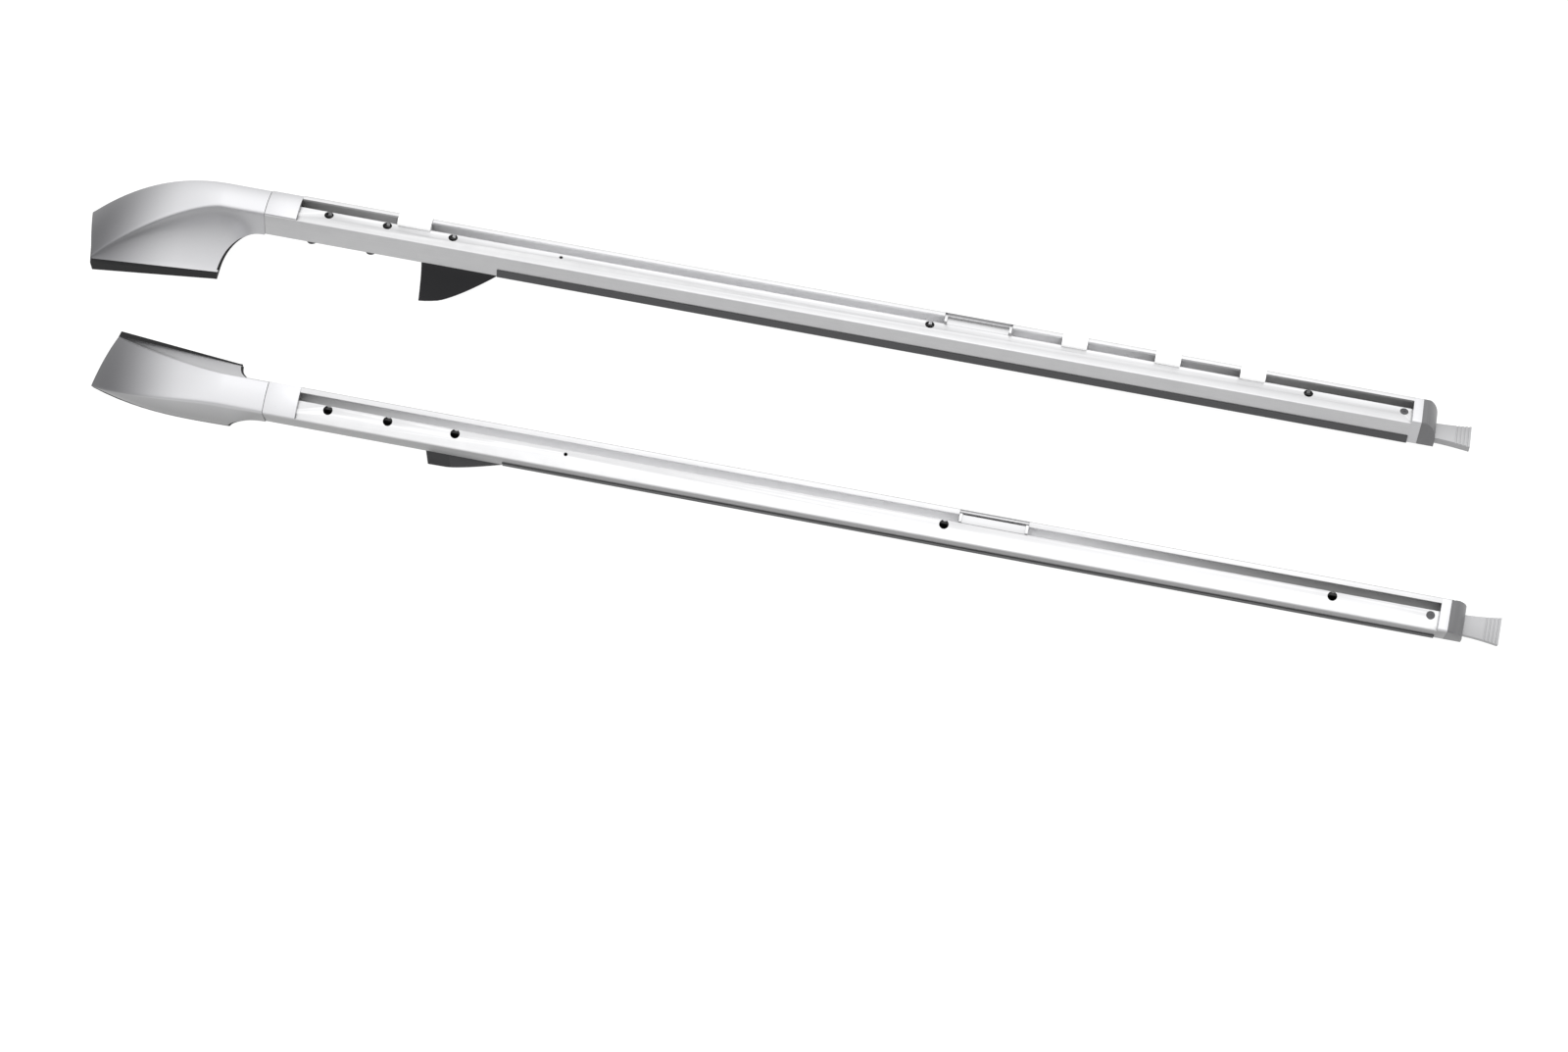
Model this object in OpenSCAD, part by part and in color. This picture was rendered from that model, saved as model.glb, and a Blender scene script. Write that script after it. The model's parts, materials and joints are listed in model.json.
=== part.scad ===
// Pair of roof bars: two lipped aluminium rails, each with a moulded front foot,
// a fin-shaped middle foot and a tongue at the rear end.
// Each bar is drawn along X from the tip of its foot, then leaned and set on its feet.

/* [Pair] */
// Distance between the two bars, middle to middle
bar_spacing = 234; // [190:1:400]
// How far the left bar lies behind the right one
bar_stagger = 56; // [0:1:120]
// Outward lean of the bars on their feet, in degrees
lean = 13; // [8:0.5:16]

/* [Rail] */
// From the tip of the foot to the seam between foot and rail
seam_x = 185; // [175:1:210]
// From the tip of the foot to the rear end of the track
track_end_x = 1423; // [1350:1:1600]
// Width of the rail
rail_w = 35; // [32:0.5:40]
// Height of the rail from the ridge to its underside
rail_h = 35.2; // [32:0.2:40]
// Thickness of the side walls and the underside
rail_wall = 2.8; // [2:0.1:3.4]
// Thickness of the ledge beside the slot
ledge_web = 4.2; // [3:0.1:5]
// Drop of the ledge below the ridge
ledge_drop = 4.4; // [3:0.1:5.5]
// Width of the slot
slot_w = 8; // [6:0.2:10]
// Depth of the slot below the ridge
slot_depth = 16; // [12:0.5:18]
// Width of the ridge along the outer side of the slot
ridge_w = 6.2; // [5:0.1:7.5]
// Thickness of the ridge over the undercut
ridge_t = 3.2; // [2.4:0.1:4]
// Radius of the bolt holes in the ledge
hole_r = 5; // [3.5:0.25:5.5]
// Distance from the slot to the middle of the bolt holes
hole_inset = 4.7; // [4.5:0.1:6]

/* [Front foot] */
// Height of the ridge line above the ground at the tip of the foot
axis_h = 78; // [70:0.5:84]
// Length of the base of the foot
foot_len = 138; // [125:1:145]
// Width of the flare on the inner side, at the ground
inner_flare = 28; // [20:1:36]
// Width of the flare on the outer side, at the ground
outer_flare = 4; // [0:0.2:8]
// Inward sweep of the foot at its tip
foot_sweep = 10; // [4:0.5:16]
// Length by which the outer corner of the tip is ahead of the inner one
tip_slant = 16; // [8:1:20]
// Wall thickness of the foot cover
cover_wall = 2.6; // [2:0.1:3.4]
// Height of the crown over its edges
crown_rise = 3; // [1.5:0.1:4]
// Thickness of the rubber pad on the inner side
pad_t = 13; // [9:0.5:15]
// Width of the ledge of the rubber pad on the inner side
pad_ledge = 4; // [1:0.5:6]

/* [Middle foot] */
// From the tip of the foot to the front of the middle foot
mid_x = 356; // [330:1:420]
// Length of the middle foot
mid_len = 82; // [60:1:110]
// Flare of the middle foot on the inner side
mid_flare = 18; // [10:1:24]

/* [Seal strip] */
// Thickness of the seal strip under the rail
strip_t = 1.3; // [1:0.1:2]
// Height of the strip on the ledge side of the rail
strip_rise = 11; // [6:0.5:14]

/* [Rear end] */
// Length of the light collar behind the track
collar_len = 10; // [6:0.5:16]
// Length of the dark end block along its underside
block_len = 18; // [14:0.5:26]
// Length of the tongue behind the end block
tongue_len = 38; // [24:1:60]
// Width of the tongue at its root
tongue_root_w = 21; // [16:0.5:24]
// Width of the tongue at its end
tongue_end_w = 29; // [22:0.5:32]
// Thickness of the tongue
tongue_t = 8; // [5:0.5:9]

/* [Hidden] */

// Running clearance between pieces that slip into each other
fit = 0.3;
// Small overlap that keeps a cut clean
eps = 0.5;

// Section of the rail
half_w = rail_w / 2;
slot_out = half_w - ridge_w;
slot_in = slot_out - slot_w;
undercut_out = half_w - rail_wall;
ledge_under = ledge_drop + ledge_web;
slot_wall = 2.6;
cavity_floor = rail_h - rail_wall;
slot_floor_under = slot_depth + slot_wall;
corner_r = 2.4;
crown_edge = 2.2;
groove_w = 5;
groove_depth = 1.5;

// Stations along a bar, from the tip of its foot
cap_len = 35;
track_x = seam_x + cap_len;
rail_end_x = track_end_x;
hole_xs = [track_x + 32, track_x + 96, track_x + 168, track_x + 686, track_x + 1092];
pilot_x = track_x + 286;
pilot_r = 2;
gate_x = track_x + 700;
gate_len = 73;
collar_x = rail_end_x;
block_x = collar_x + collar_len;
spigot_end_x = seam_x + 150;
total_len = block_x + block_len + tongue_len;
// The arch behind the foot ends just before the seam
arch_end_x = seam_x - 5;
arch_len = arch_end_x - foot_len;
arch_below = 9;

// Spigot that joins the foot bracket to the rail
spigot_v0 = -half_w + rail_wall + fit;
spigot_v1 = slot_in - slot_wall - fit;
spigot_w0 = -cavity_floor + fit;
spigot_w1 = -ledge_under - fit;
spigot_neck = 1.5;
bracket_screw_xs = [seam_x + 50, seam_x + 115];
bracket_screw_r = 3;
bracket_screw_l = 12;
bracket_screw_v = -half_w / 2 - 2;

// The bars fall towards the rear, where the corner of the strip rests on the ground
strip_side_t = 1;
rest_r = corner_r + strip_side_t;
rest_h = (half_w + strip_side_t - rest_r) * sin(lean) + (rail_h + strip_t - rest_r) * cos(lean) + rest_r;
fall = atan((axis_h - rest_h) / track_end_x);
// The strip starts behind the upright end of the middle foot
strip_x = mid_x + mid_len + (rail_h + strip_t) * sin(fall) + 3 * fit;

// Foot loft
crease_v = half_w;
crease_w = -crown_edge;
skirt_pow = 2.3;
outer_bulge = 0.8;
foot_stations = 22;
cover_front_t = 2.5;
outer_drop_y = 28.5;
inner_drop_y = 54;
inner_front_x = 14;
outer_pow_y = 2.8;
outer_pow_z = 1.9;
inner_pow = 1.45;

function mix(a, b, t) = a + (b - a) * t;
function ramp(t) = max(0, min(1, t));
function smooth(t) = let (u = ramp(t)) u * u * (3 - 2 * u);
function up_y(v, w) = v * cos(lean) + w * sin(lean);
function up_z(v, w) = -v * sin(lean) + w * cos(lean);
function line_h(x) = axis_h - x * tan(fall);

// Height of the pad's sloping top above the ground
pad_thin = 1.2;
pad_slope = (pad_t - pad_thin) / (2.2 * rail_w);
function pad_h(y) = pad_thin + pad_slope * (rail_w / 4 - y);

// 0 at the arch behind the foot, 1 at its tip
function tip_t(x) = ramp((foot_len - x) / foot_len);
// 0 along the foot, 1 at the seam with the rail
function seam_t(x) = smooth((x - foot_len - 8) / (seam_x - foot_len - 10));

// Creases between crown and skirts, as [y, z] over the ground
function outer_crease(x) = let (
    t = tip_t(x),
    z0 = line_h(x) + up_z(crease_v, crease_w),
    y1 = up_y(crease_v, crease_w) - outer_drop_y,
    z1 = pad_h(y1) + cover_front_t
) [mix(up_y(crease_v, crease_w), y1, pow(t, outer_pow_y)), mix(z0, z1, pow(t, outer_pow_z))];
function inner_crease(x) = let (
    t = tip_t(x),
    z0 = line_h(x) + up_z(-crease_v, crease_w),
    y1 = up_y(-crease_v, crease_w) - inner_drop_y,
    z1 = pad_h(y1) + cover_front_t
) [mix(up_y(-crease_v, crease_w), y1, pow(t, inner_pow)), mix(z0, z1, pow(t, inner_pow))];
// Ends of the skirts on the ground
function outer_base(x) = let (
    c = outer_crease(x),
    flare = outer_flare * (1 - seam_t(x)) * (1 - pow(tip_t(x), 2))
) c[0] - tan(lean) * c[1] + flare * cos(lean);
function inner_base(x) = let (
    c = inner_crease(x),
    root = up_y(-crease_v, crease_w) - tan(lean) * (line_h(foot_len) + up_z(-crease_v, crease_w)),
    wide = root - inner_flare - foot_sweep * tip_t(x)
) min(c[0] - 1, mix(wide, root, seam_t(x)));

// One ring of the foot, from the outer base over the crown to the inner base; g insets it
skirt_n = 7;
crown_n = 8;
// Depth below the pad's top to which an inset foot goes on
under_foot = 6;
function foot_ring(x, g) = let (
    oc = outer_crease(x) - [g, g * 1.05],
    ic = inner_crease(x) - [-g * 1.1, g * 1.05],
    ob = outer_base(x) - g,
    ib = inner_base(x) + g * 1.25,
    oz = pad_h(outer_base(x)),
    iz = pad_h(inner_base(x)),
    rise = crown_rise * (1 + 0.6 * tip_t(x)),
    down = tan(lean) * (ic[1] - iz),
    flare = ic[0] - down - ib
) concat(
    g > 0 ? [[ob, oz - under_foot]] : [],
    [for (i = [0 : skirt_n - 1]) let (u = i / skirt_n)
        [mix(ob, oc[0], u) + 4 * outer_bulge * u * (1 - u), mix(oz, oc[1], u)]],
    [for (i = [0 : crown_n]) let (u = i / crown_n)
        [mix(oc[0], ic[0], u), mix(oc[1], ic[1], u) + 4 * rise * u * (1 - u)]],
    [for (i = [1 : skirt_n]) let (u = i / skirt_n)
        [ic[0] - down * u - flare * pow(u, skirt_pow), mix(ic[1], iz, u)]],
    g > 0 ? [[ib, iz - under_foot]] : []
);

// Solid between rings of equal length, each at its own x
module loft(xs, rings) {
    n = len(rings[0]);
    m = len(rings);
    points = [for (k = [0 : m - 1]) for (p = rings[k]) [xs[k] - tip_shift(xs[k], p[0]), p[0], p[1]]];
    sides = [for (k = [0 : m - 2]) for (i = [0 : n - 1]) let (
        j = (i + 1) % n, a = k * n + i, b = k * n + j, c = (k + 1) * n + j, d = (k + 1) * n + i
    ) each [[a, d, c], [a, c, b]]];
    caps = [[for (i = [0 : n - 1]) i], [for (i = [n - 1 : -1 : 0]) (m - 1) * n + i]];
    polyhedron(points, concat(sides, caps), convexity = 6);
}

// The whole foot as a solid, inset by g, standing on the ground
module foot_body(g = 0) {
    x0 = g > 0 ? inner_front_x : 0;
    x1 = seam_x + (g > 0 ? 2 : 1);
    xs = [for (i = [0 : foot_stations]) mix(x0, x1, i / foot_stations)];
    loft(xs, [for (x = xs) foot_ring(x, g)]);
}
// Forward shift of a point of the foot, so that the tip slants from its outer to its inner corner
function tip_shift(x, y) = let (
    ob = outer_base(x), ib = inner_base(x)
) tip_slant * pow(tip_t(x), 2) * (y - ib) / (ob - ib);

// Places a bar's upright parts: bars mirror each other across the middle of the pair
module on_ground(side) {
    translate([-(total_len - tip_slant + bar_stagger) / 2 + (side < 0 ? bar_stagger : 0), side * bar_spacing / 2, 0])
        mirror([0, side < 0 ? 1 : 0, 0])
            children();
}
// Places what is drawn in the bar's own leaning frame: X along it, Y outward, Z up from its ridge
module leaned() {
    translate([0, 0, axis_h])
        rotate([0, fall, 0])
            rotate([-lean, 0, 0])
                children();
}
module on_bar(side) {
    on_ground(side) leaned() children();
}
// The slot lies on the same side of both rails, so the left one's section is turned round
module section_side(side) {
    mirror([0, side < 0 ? 1 : 0, 0]) children();
}
// Extrudes an outline drawn across the bar from x0 to x1
module along(x0, x1) {
    translate([x0, 0, 0])
        rotate([90, 0, 90])
            linear_extrude(x1 - x0)
                children();
}

// Rectangle with its lower corners rounded
module soft_rect(v0, w0, v1, w1, r) {
    translate([v0, w0 + r]) square([v1 - v0, w1 - w0 - r]);
    translate([v0 + r, w0]) square([v1 - v0 - 2 * r, r + eps / 10]);
    translate([v0 + r, w0 + r]) circle(r, $fn = 32);
    translate([v1 - r, w0 + r]) circle(r, $fn = 32);
}

// Outline of the rail, with the ridge at positive v
module rail_outline() {
    ledge_r = 1.4;
    difference() {
        union() {
            soft_rect(-half_w, -rail_h, half_w, -ledge_drop - ledge_r, corner_r);
            translate([-half_w + ledge_r, -ledge_drop - 2 * ledge_r])
                square([rail_w - ledge_r, 2 * ledge_r]);
            translate([-half_w + ledge_r, -ledge_drop - ledge_r]) circle(ledge_r, $fn = 32);
            translate([slot_out, -ledge_drop - 1]) square([ridge_w - corner_r, ledge_drop + 1]);
            translate([slot_out, -ledge_drop - 1]) square([ridge_w, ledge_drop + 1 - corner_r]);
            translate([half_w - corner_r, -corner_r]) circle(corner_r, $fn = 32);
        }
        translate([slot_in, -slot_depth]) square([slot_w, slot_depth + eps]);
        translate([slot_in, -slot_depth]) square([undercut_out - slot_in, slot_depth - ridge_t]);
        translate([-groove_w / 2, -rail_h - eps]) square([groove_w, groove_depth + eps]);
    }
}
// Hollow inside the rail, under the ledge and the slot
module rail_hollow() {
    translate([-half_w + rail_wall, -cavity_floor])
        square([slot_in - slot_wall + half_w - rail_wall, cavity_floor - ledge_under]);
    translate([-half_w + rail_wall, -cavity_floor])
        square([rail_w - 2 * rail_wall, cavity_floor - slot_floor_under]);
}

module rail(side) {
    color("silver") on_bar(side) section_side(side) difference() {
        along(seam_x + fit / 2, rail_end_x) difference() {
            rail_outline();
            rail_hollow();
        }
        // The ridge is milled away under the front cap and at the gate
        translate([0, slot_out - eps, -ledge_drop]) {
            translate([seam_x, 0, 0]) cube([cap_len + fit, ridge_w + 2 * eps, rail_h]);
        }
        translate([gate_x, slot_out - eps, -ridge_t - fit])
            cube([gate_len, ridge_w + eps - gate_wall, rail_h]);
        for (x = hole_xs) {
            translate([x, slot_in - hole_inset, -ledge_under - fit])
                cylinder(h = ledge_web + 1, r = hole_r, $fn = 48);
        }
        translate([rear_screw_x, rear_screw_v, -ledge_drop - 3.4])
            cylinder(h = 6, r = rear_head_r + fit, $fn = 32);
        translate([rear_screw_x, rear_screw_v, -ledge_under - fit])
            cylinder(h = ledge_web, r = rear_screw_r + fit / 2, $fn = 32);
        translate([pilot_x, slot_in - hole_inset, -ledge_under - fit])
            cylinder(h = ledge_web + 1, r = pilot_r, $fn = 32);
        for (x = bracket_screw_xs) {
            translate([x, bracket_screw_v, -rail_h - eps])
                cylinder(h = rail_wall + 2 * eps, r = bracket_screw_r + fit, $fn = 32);
        }
        for (x = mid_screw_xs) {
            translate([x, 0, -rail_h - eps])
                cylinder(h = rail_wall + 2 * eps, r = mid_screw_r + fit / 2, $fn = 32);
        }
    }
}

// Space in front of and above the arch behind the foot; g moves the edge into the foot
module arch_keep(g = 0) {
    deep = 4 * rail_w;
    arch_h = axis_h - rail_h + arch_below;
    wide = 4 * rail_w;
    end_x = g > 0 ? seam_x + 5 : seam_x - fit / 2;
    arc = [for (i = [0 : 16]) let (q = 90 * i / 16)
        [arch_end_x - (arch_len + g) * cos(q), -rail_h - arch_h + (arch_h + g) * sin(q)]];
    translate([0, wide / 2, 0])
        rotate([90, 0, 0])
            linear_extrude(wide)
                polygon(concat([[-40, rail_w], [-40, -deep], [arch_end_x - arch_len - g, -deep]], arc,
                    [[end_x, -rail_h + g], [end_x, rail_w]]));
}
// Ground under the foot up to the sloping top of the pad, raised by g
module pad_space(g = 0) {
    wide = 200;
    translate([-20, rail_w / 4, pad_thin + g])
        rotate([-atan(pad_slope), 0, 0])
            translate([0, -wide, -60])
                cube([seam_x + 40, 2 * wide, 60]);
}

module front_foot_cover(side) {
    color("gainsboro") on_ground(side) difference() {
        intersection() {
            foot_body();
            leaned() arch_keep();
        }
        intersection() {
            foot_body(cover_wall);
            leaned() arch_keep(cover_wall);
        }
    }
}

// Silver filler over the slot, from the seam to the start of the track
module front_track_cap(side) {
    plug_top = ledge_drop - fit;
    color("gainsboro") on_bar(side) section_side(side) {
        along(seam_x + fit, track_x) intersection() {
            translate([-half_w, -plug_top]) square([rail_w, plug_top + crown_rise]);
            crown_outline();
        }
        along(seam_x + 4, track_x)
            translate([slot_in + fit, -slot_depth + 2]) square([slot_w - 2 * fit, slot_depth - ledge_drop]);
    }
}
// Crown of the foot's section over its edges, as one arc
module crown_outline() {
    arc_r = (pow(half_w, 2) + pow(crown_rise, 2)) / (2 * crown_rise);
    translate([-half_w, -rail_h]) square([rail_w, rail_h - crown_edge]);
    intersection() {
        translate([0, crown_rise - crown_edge - arc_r]) circle(arc_r, $fn = 160);
        translate([-half_w, -crown_edge - eps]) square([rail_w, rail_w]);
    }
}

// Wedge of rubber under the foot
module front_foot_pad(side) {
    color("black") on_ground(side) difference() {
        intersection() {
            foot_slab();
            pad_space(-fit / 2);
            leaned() arch_keep();
            translate([-40, -200, 0]) cube([300, 400, 40]);
        }
        for (p = insert_spots) {
            translate([p[0], p[1], -1]) cylinder(h = pad_t + 5, r = insert_bore_r + 1.5, $fn = 32);
        }
    }
}
// Plan of the foot on the ground, straight up, with the inner ledge
module foot_slab() {
    n = 12;
    x1 = foot_len + 7;
    outer = [for (i = [0 : n]) let (x = mix(0, x1, i / n)) [x - tip_shift(x, outer_base(x)), outer_base(x) - 0.4]];
    inner = [for (i = [n : -1 : 0]) let (x = mix(0, x1, i / n)) [x, inner_base(x) - pad_ledge * (0.4 + tip_t(x))]];
    linear_extrude(40) polygon(concat(outer, inner));
}

// Places of the threaded inserts in the base, as [x, y]
insert_bore_r = 4;
insert_r = 6.5;
insert_h = 14;
insert_top = pad_t + 15;
insert_spots = [[58, -31], [112, -25]];
boss_r = 10;
base_t = 5;

// Spigot of the bracket from x0 to x1, narrower by g on the side of the ledge
module spigot(x0, x1, g) {
    translate([x0, spigot_v0 + g, spigot_w0]) cube([x1 - x0, spigot_v1 - spigot_v0 - g, spigot_w1 - spigot_w0]);
}
module front_foot_bracket(side) {
    rib_t = 8;
    color("dimgray") on_ground(side) difference() {
        union() {
            intersection() {
                foot_body(cover_wall + fit);
                leaned() arch_keep(cover_wall + fit);
                union() {
                    difference() {
                        translate([30, -90, 0]) cube([foot_len - 34, 140, 60]);
                        pad_space_above(base_t + fit);
                    }
                    for (p = insert_spots) {
                        translate([p[0], p[1], 0]) cylinder(h = insert_top + 2, r = boss_r, $fn = 48);
                    }
                    leaned() section_side(side)
                        translate([44, spigot_v0 + 5, -2.5 * rail_w]) cube([seam_x - 44, rib_t, 2.5 * rail_w]);
                }
            }
            leaned() section_side(side) {
                spigot(seam_x - 30, seam_x + 1, spigot_neck);
                spigot(seam_x + fit, spigot_end_x, 0);
            }
        }
        pad_space(fit);
        for (p = insert_spots) {
            translate([p[0], p[1], -1]) cylinder(h = insert_top + 1, r = insert_r + 0.05, $fn = 48);
        }
        leaned() section_side(side) for (x = bracket_screw_xs) {
            translate([x, bracket_screw_v, spigot_w0 - eps])
                cylinder(h = bracket_screw_l, r = bracket_screw_r + 0.05, $fn = 32);
        }
        leaned() section_side(side) for (x = hole_xs) {
            translate([x, slot_in - hole_inset, -ledge_under - rail_h])
                cylinder(h = rail_h, r = hole_r + 1.5, $fn = 48);
        }
    }
}
module pad_space_above(g) {
    difference() {
        translate([-30, -200, -10]) cube([seam_x + 60, 400, 300]);
        pad_space(g);
    }
}

module bracket_screws(side) {
    head_h = 3;
    head_r = 5.5;
    color("darkgray") on_bar(side) section_side(side) for (x = bracket_screw_xs) {
        translate([x, bracket_screw_v, -rail_h]) {
            cylinder(h = bracket_screw_l, r = bracket_screw_r, $fn = 32);
            translate([0, 0, -head_h]) difference() {
                cylinder(h = head_h, r = head_r, $fn = 32);
                translate([0, 0, -1]) cylinder(h = 2.6, r = 2.6, $fn = 6);
            }
        }
    }
}

module foot_inserts(side) {
    color("goldenrod") on_ground(side) for (p = insert_spots) {
        translate([p[0], p[1], insert_top - insert_h]) difference() {
            cylinder(h = insert_h, r = insert_r, $fn = 48);
            translate([0, 0, -1]) cylinder(h = insert_h + 2, r = insert_bore_r, $fn = 48);
        }
    }
}

// Middle foot, drawn over the ground
mid_screw_xs = [mid_x + 14, mid_x + 42];
mid_screw_r = 2.5;
mid_stations = 12;
mid_pad_t = 2.4;
mid_gap = 0.1;
// 1 at the front of the middle foot, 0 at its tail, for its flare and its depth
function mid_wide(x) = 1 - pow(ramp((x - mid_x) / mid_len), 1.4);
function mid_deep(x) = 1 - pow(ramp((x - mid_x - mid_len / 4) / (mid_len * 3 / 4)), 1.3);
function mid_ring(x) = let (
    under = -rail_h - mid_gap,
    ot = [up_y(half_w - 1, under), line_h(x) + up_z(half_w - 1, under)],
    it = [up_y(-half_w + 1, under), line_h(x) + up_z(-half_w + 1, under)],
    ob = [mix(ot[0], ot[0] + 1, mid_wide(x)), mix(ot[1] - strip_t, 0, mid_deep(x))],
    ib = [mix(it[0], it[0] - tan(lean) * it[1] - mid_flare, mid_wide(x)), mix(it[1] - strip_t, 0, mid_deep(x))],
    soft = 2.5 * mid_wide(x) + 0.3
) concat(
    [ob + [-soft, 0], ob + [0, soft * 0.6], ot, it],
    [for (i = [1 : 6]) let (u = i / 6) [
        mix(it[0], ib[0], 0.35 * u + 0.65 * pow(u, 1.7)), mix(it[1], ib[1] + 0.6 * soft, u)]],
    [ib + [soft, 0]]
);
module mid_body() {
    xs = [for (i = [0 : mid_stations]) mix(mid_x, mid_x + mid_len, i / mid_stations)];
    loft(xs, [for (x = xs) mid_ring(x)]);
}
module mid_screw_cut(side, r) {
    leaned() for (x = mid_screw_xs) {
        translate([x, 0, -rail_h - rail_w]) cylinder(h = rail_w + rail_h / 2, r = r, $fn = 32);
    }
}
mid_head_r = 4.6;
mid_head_h = 3;
mid_head_w = rail_h + 9;
module middle_foot(side) {
    color("black") on_ground(side) difference() {
        mid_body();
        translate([mid_x - 1, -100, -1]) cube([mid_len + 2, 200, 1 + mid_pad_t]);
        mid_screw_cut(side, mid_screw_r + fit / 2);
        leaned() for (x = mid_screw_xs) {
            translate([x, 0, -mid_head_w - 2 * rail_w]) cylinder(h = 2 * rail_w, r = mid_head_r + fit, $fn = 32);
        }
    }
}
module middle_foot_pad(side) {
    color("dimgray") on_ground(side) intersection() {
        mid_body();
        translate([mid_x - 1, -100, 0]) cube([mid_len / 2, 200, mid_pad_t]);
    }
}
// Screws of the middle foot, each with its nut inside the rail
module middle_foot_screws(side) {
    color("darkgray") on_bar(side) for (x = mid_screw_xs) {
        translate([x, 0, -mid_head_w]) {
            cylinder(h = mid_head_w - cavity_floor + 5, r = mid_screw_r, $fn = 32);
            translate([0, 0, -mid_head_h]) difference() {
                cylinder(h = mid_head_h, r = mid_head_r, $fn = 32);
                translate([0, 0, -1]) cylinder(h = 2.6, r = 2, $fn = 6);
            }
            translate([0, 0, mid_head_w - cavity_floor]) cylinder(h = 4, r = 4.4, $fn = 6);
        }
    }
}

// Strip that hugs the underside of the rail, with a rib in its groove
strip_low_rise = 3;
module strip_outline() {
    difference() {
        soft_rect(-half_w - strip_side_t, -rail_h - strip_t, half_w + strip_side_t,
            -rail_h + strip_rise, corner_r + strip_side_t);
        soft_rect(-half_w, -rail_h, half_w, 0, corner_r);
        translate([0, -rail_h + strip_low_rise]) square([rail_w, rail_h]);
    }
    translate([-groove_w / 2 + fit, -rail_h - eps / 2])
        square([groove_w - 2 * fit, groove_depth - fit + eps / 2]);
}
module seal_strip(side) {
    color("black") on_bar(side) section_side(side) along(strip_x, rail_end_x - fit) strip_outline();
}

// Insert that fills the gap in the ridge, where fittings enter the slot
gate_wall = 1.2;
gate_plate_t = 2.6;
gate_stop = 3;
module track_gate(side) {
    color("silver") on_bar(side) section_side(side) {
        x0 = gate_x + fit;
        x1 = gate_x + gate_len - fit;
        plate_v1 = slot_out + gate_wall;
        along(x0, x1) {
            translate([slot_in + fit, -ledge_drop - gate_plate_t])
                square([plate_v1 - slot_in - fit, gate_plate_t]);
            translate([slot_in + fit, -slot_depth]) square([3, slot_depth - ledge_drop - 1]);
        }
        for (x = [x0, x1 - gate_stop]) {
            translate([x, slot_in + fit, -ledge_drop - 1])
                cube([gate_stop, plate_v1 - slot_in - fit, ledge_drop + 1 - fit]);
        }
    }
}

// Clips on the ridge of the right bar: a small one near the front and three near the rear
clip_spots = [[track_x + 106, 36], [track_x + 827, 27], [track_x + 927, 27], [track_x + 1018, 27]];
module track_clips(side) {
    head_t = 2.2;
    color("white") on_bar(side) section_side(side) for (c = clip_spots) {
        along(c[0], c[0] + c[1]) {
            polygon([[slot_in - 1.5, -ledge_drop], [slot_in - 1, -1], [slot_in + 1.5, head_t - 0.4],
                [slot_in + 4, head_t], [half_w - 2, head_t], [half_w + 0.9, 0], [half_w + 0.9, -4],
                [half_w, -4], [half_w, 0], [slot_out - fit, 0], [slot_out - fit, -slot_depth + 1],
                [slot_in + fit, -slot_depth + 1], [slot_in + fit, -ledge_drop]]);
        }
    }
}

// Rear end: collar, dark end block and tongue
stem_half_w = 9.5;
stem_top = rail_h - tongue_t;
stem_x = rail_end_x - 22;
rear_screw_x = rail_end_x - 9;
rear_screw_r = 2.5;
rear_head_r = 4.2;
rear_screw_v = spigot_v1 - rear_screw_r - fit;
module solid_outline() {
    soft_rect(-half_w, -rail_h, half_w, -corner_r, corner_r);
    translate([-half_w + corner_r, -corner_r - eps]) square([rail_w - 2 * corner_r, corner_r + eps]);
    translate([-half_w + corner_r, -corner_r]) circle(corner_r, $fn = 32);
    translate([half_w - corner_r, -corner_r]) circle(corner_r, $fn = 32);
}
module stem_hole(x0, x1, g) {
    translate([x0, -stem_half_w - g, -cavity_floor + fit - g])
        cube([x1 - x0, 2 * (stem_half_w + g), cavity_floor - fit - stem_top + 2 * g]);
}
module rear_end_collar(side) {
    color("whitesmoke") on_bar(side) section_side(side) difference() {
        union() {
            along(collar_x, block_x) solid_outline();
            along(stem_x, collar_x + 1) {
                translate([-half_w + rail_wall + fit, -stem_top + 2 * fit])
                    square([rail_w - 2 * rail_wall - 2 * fit, stem_top - slot_floor_under - 3 * fit]);
                translate([-half_w + rail_wall + fit, -stem_top + 2 * fit])
                    square([spigot_v1 - spigot_v0, stem_top - ledge_under - 3 * fit]);
            }
        }
        stem_hole(stem_x - 1, block_x + 1, fit);
        translate([rear_screw_x, rear_screw_v, -rail_h])
            cylinder(h = rail_h, r = rear_screw_r + fit / 2, $fn = 32);
    }
}
// Side profile of the end block: short at the top, bulging to its full length below
module rear_end_block(side) {
    n = 10;
    nose = [for (i = [0 : n]) let (q = 90 * i / n)
        [block_x + 2 + (block_len - 2) * sin(q), -0.72 * rail_h * (1 - cos(q))]];
    cut = 0.4 * rail_w;
    color("gray") on_bar(side) section_side(side) difference() {
        intersection() {
            along(block_x, block_x + block_len) solid_outline();
            translate([0, rail_w, 0]) rotate([90, 0, 0]) linear_extrude(2 * rail_w)
                polygon(concat([[block_x, -rail_h - 1], [block_x, 0]], nose, [[block_x + block_len, -rail_h - 1]]));
        }
        translate([block_x + 3, half_w - 1, -rail_h / 2])
            rotate([0, 0, 48])
                translate([0, 0, -rail_h]) cube([cut * 2, cut, 2 * rail_h]);
        stem_hole(block_x - 1, block_x + block_len + 1, fit);
        along(block_x + block_len - 6, block_x + block_len + 1)
            translate([-tongue_root_w / 2 - fit, -rail_h - 1]) square([tongue_root_w + 2 * fit, tongue_t + 1 + fit]);
    }
}
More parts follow.
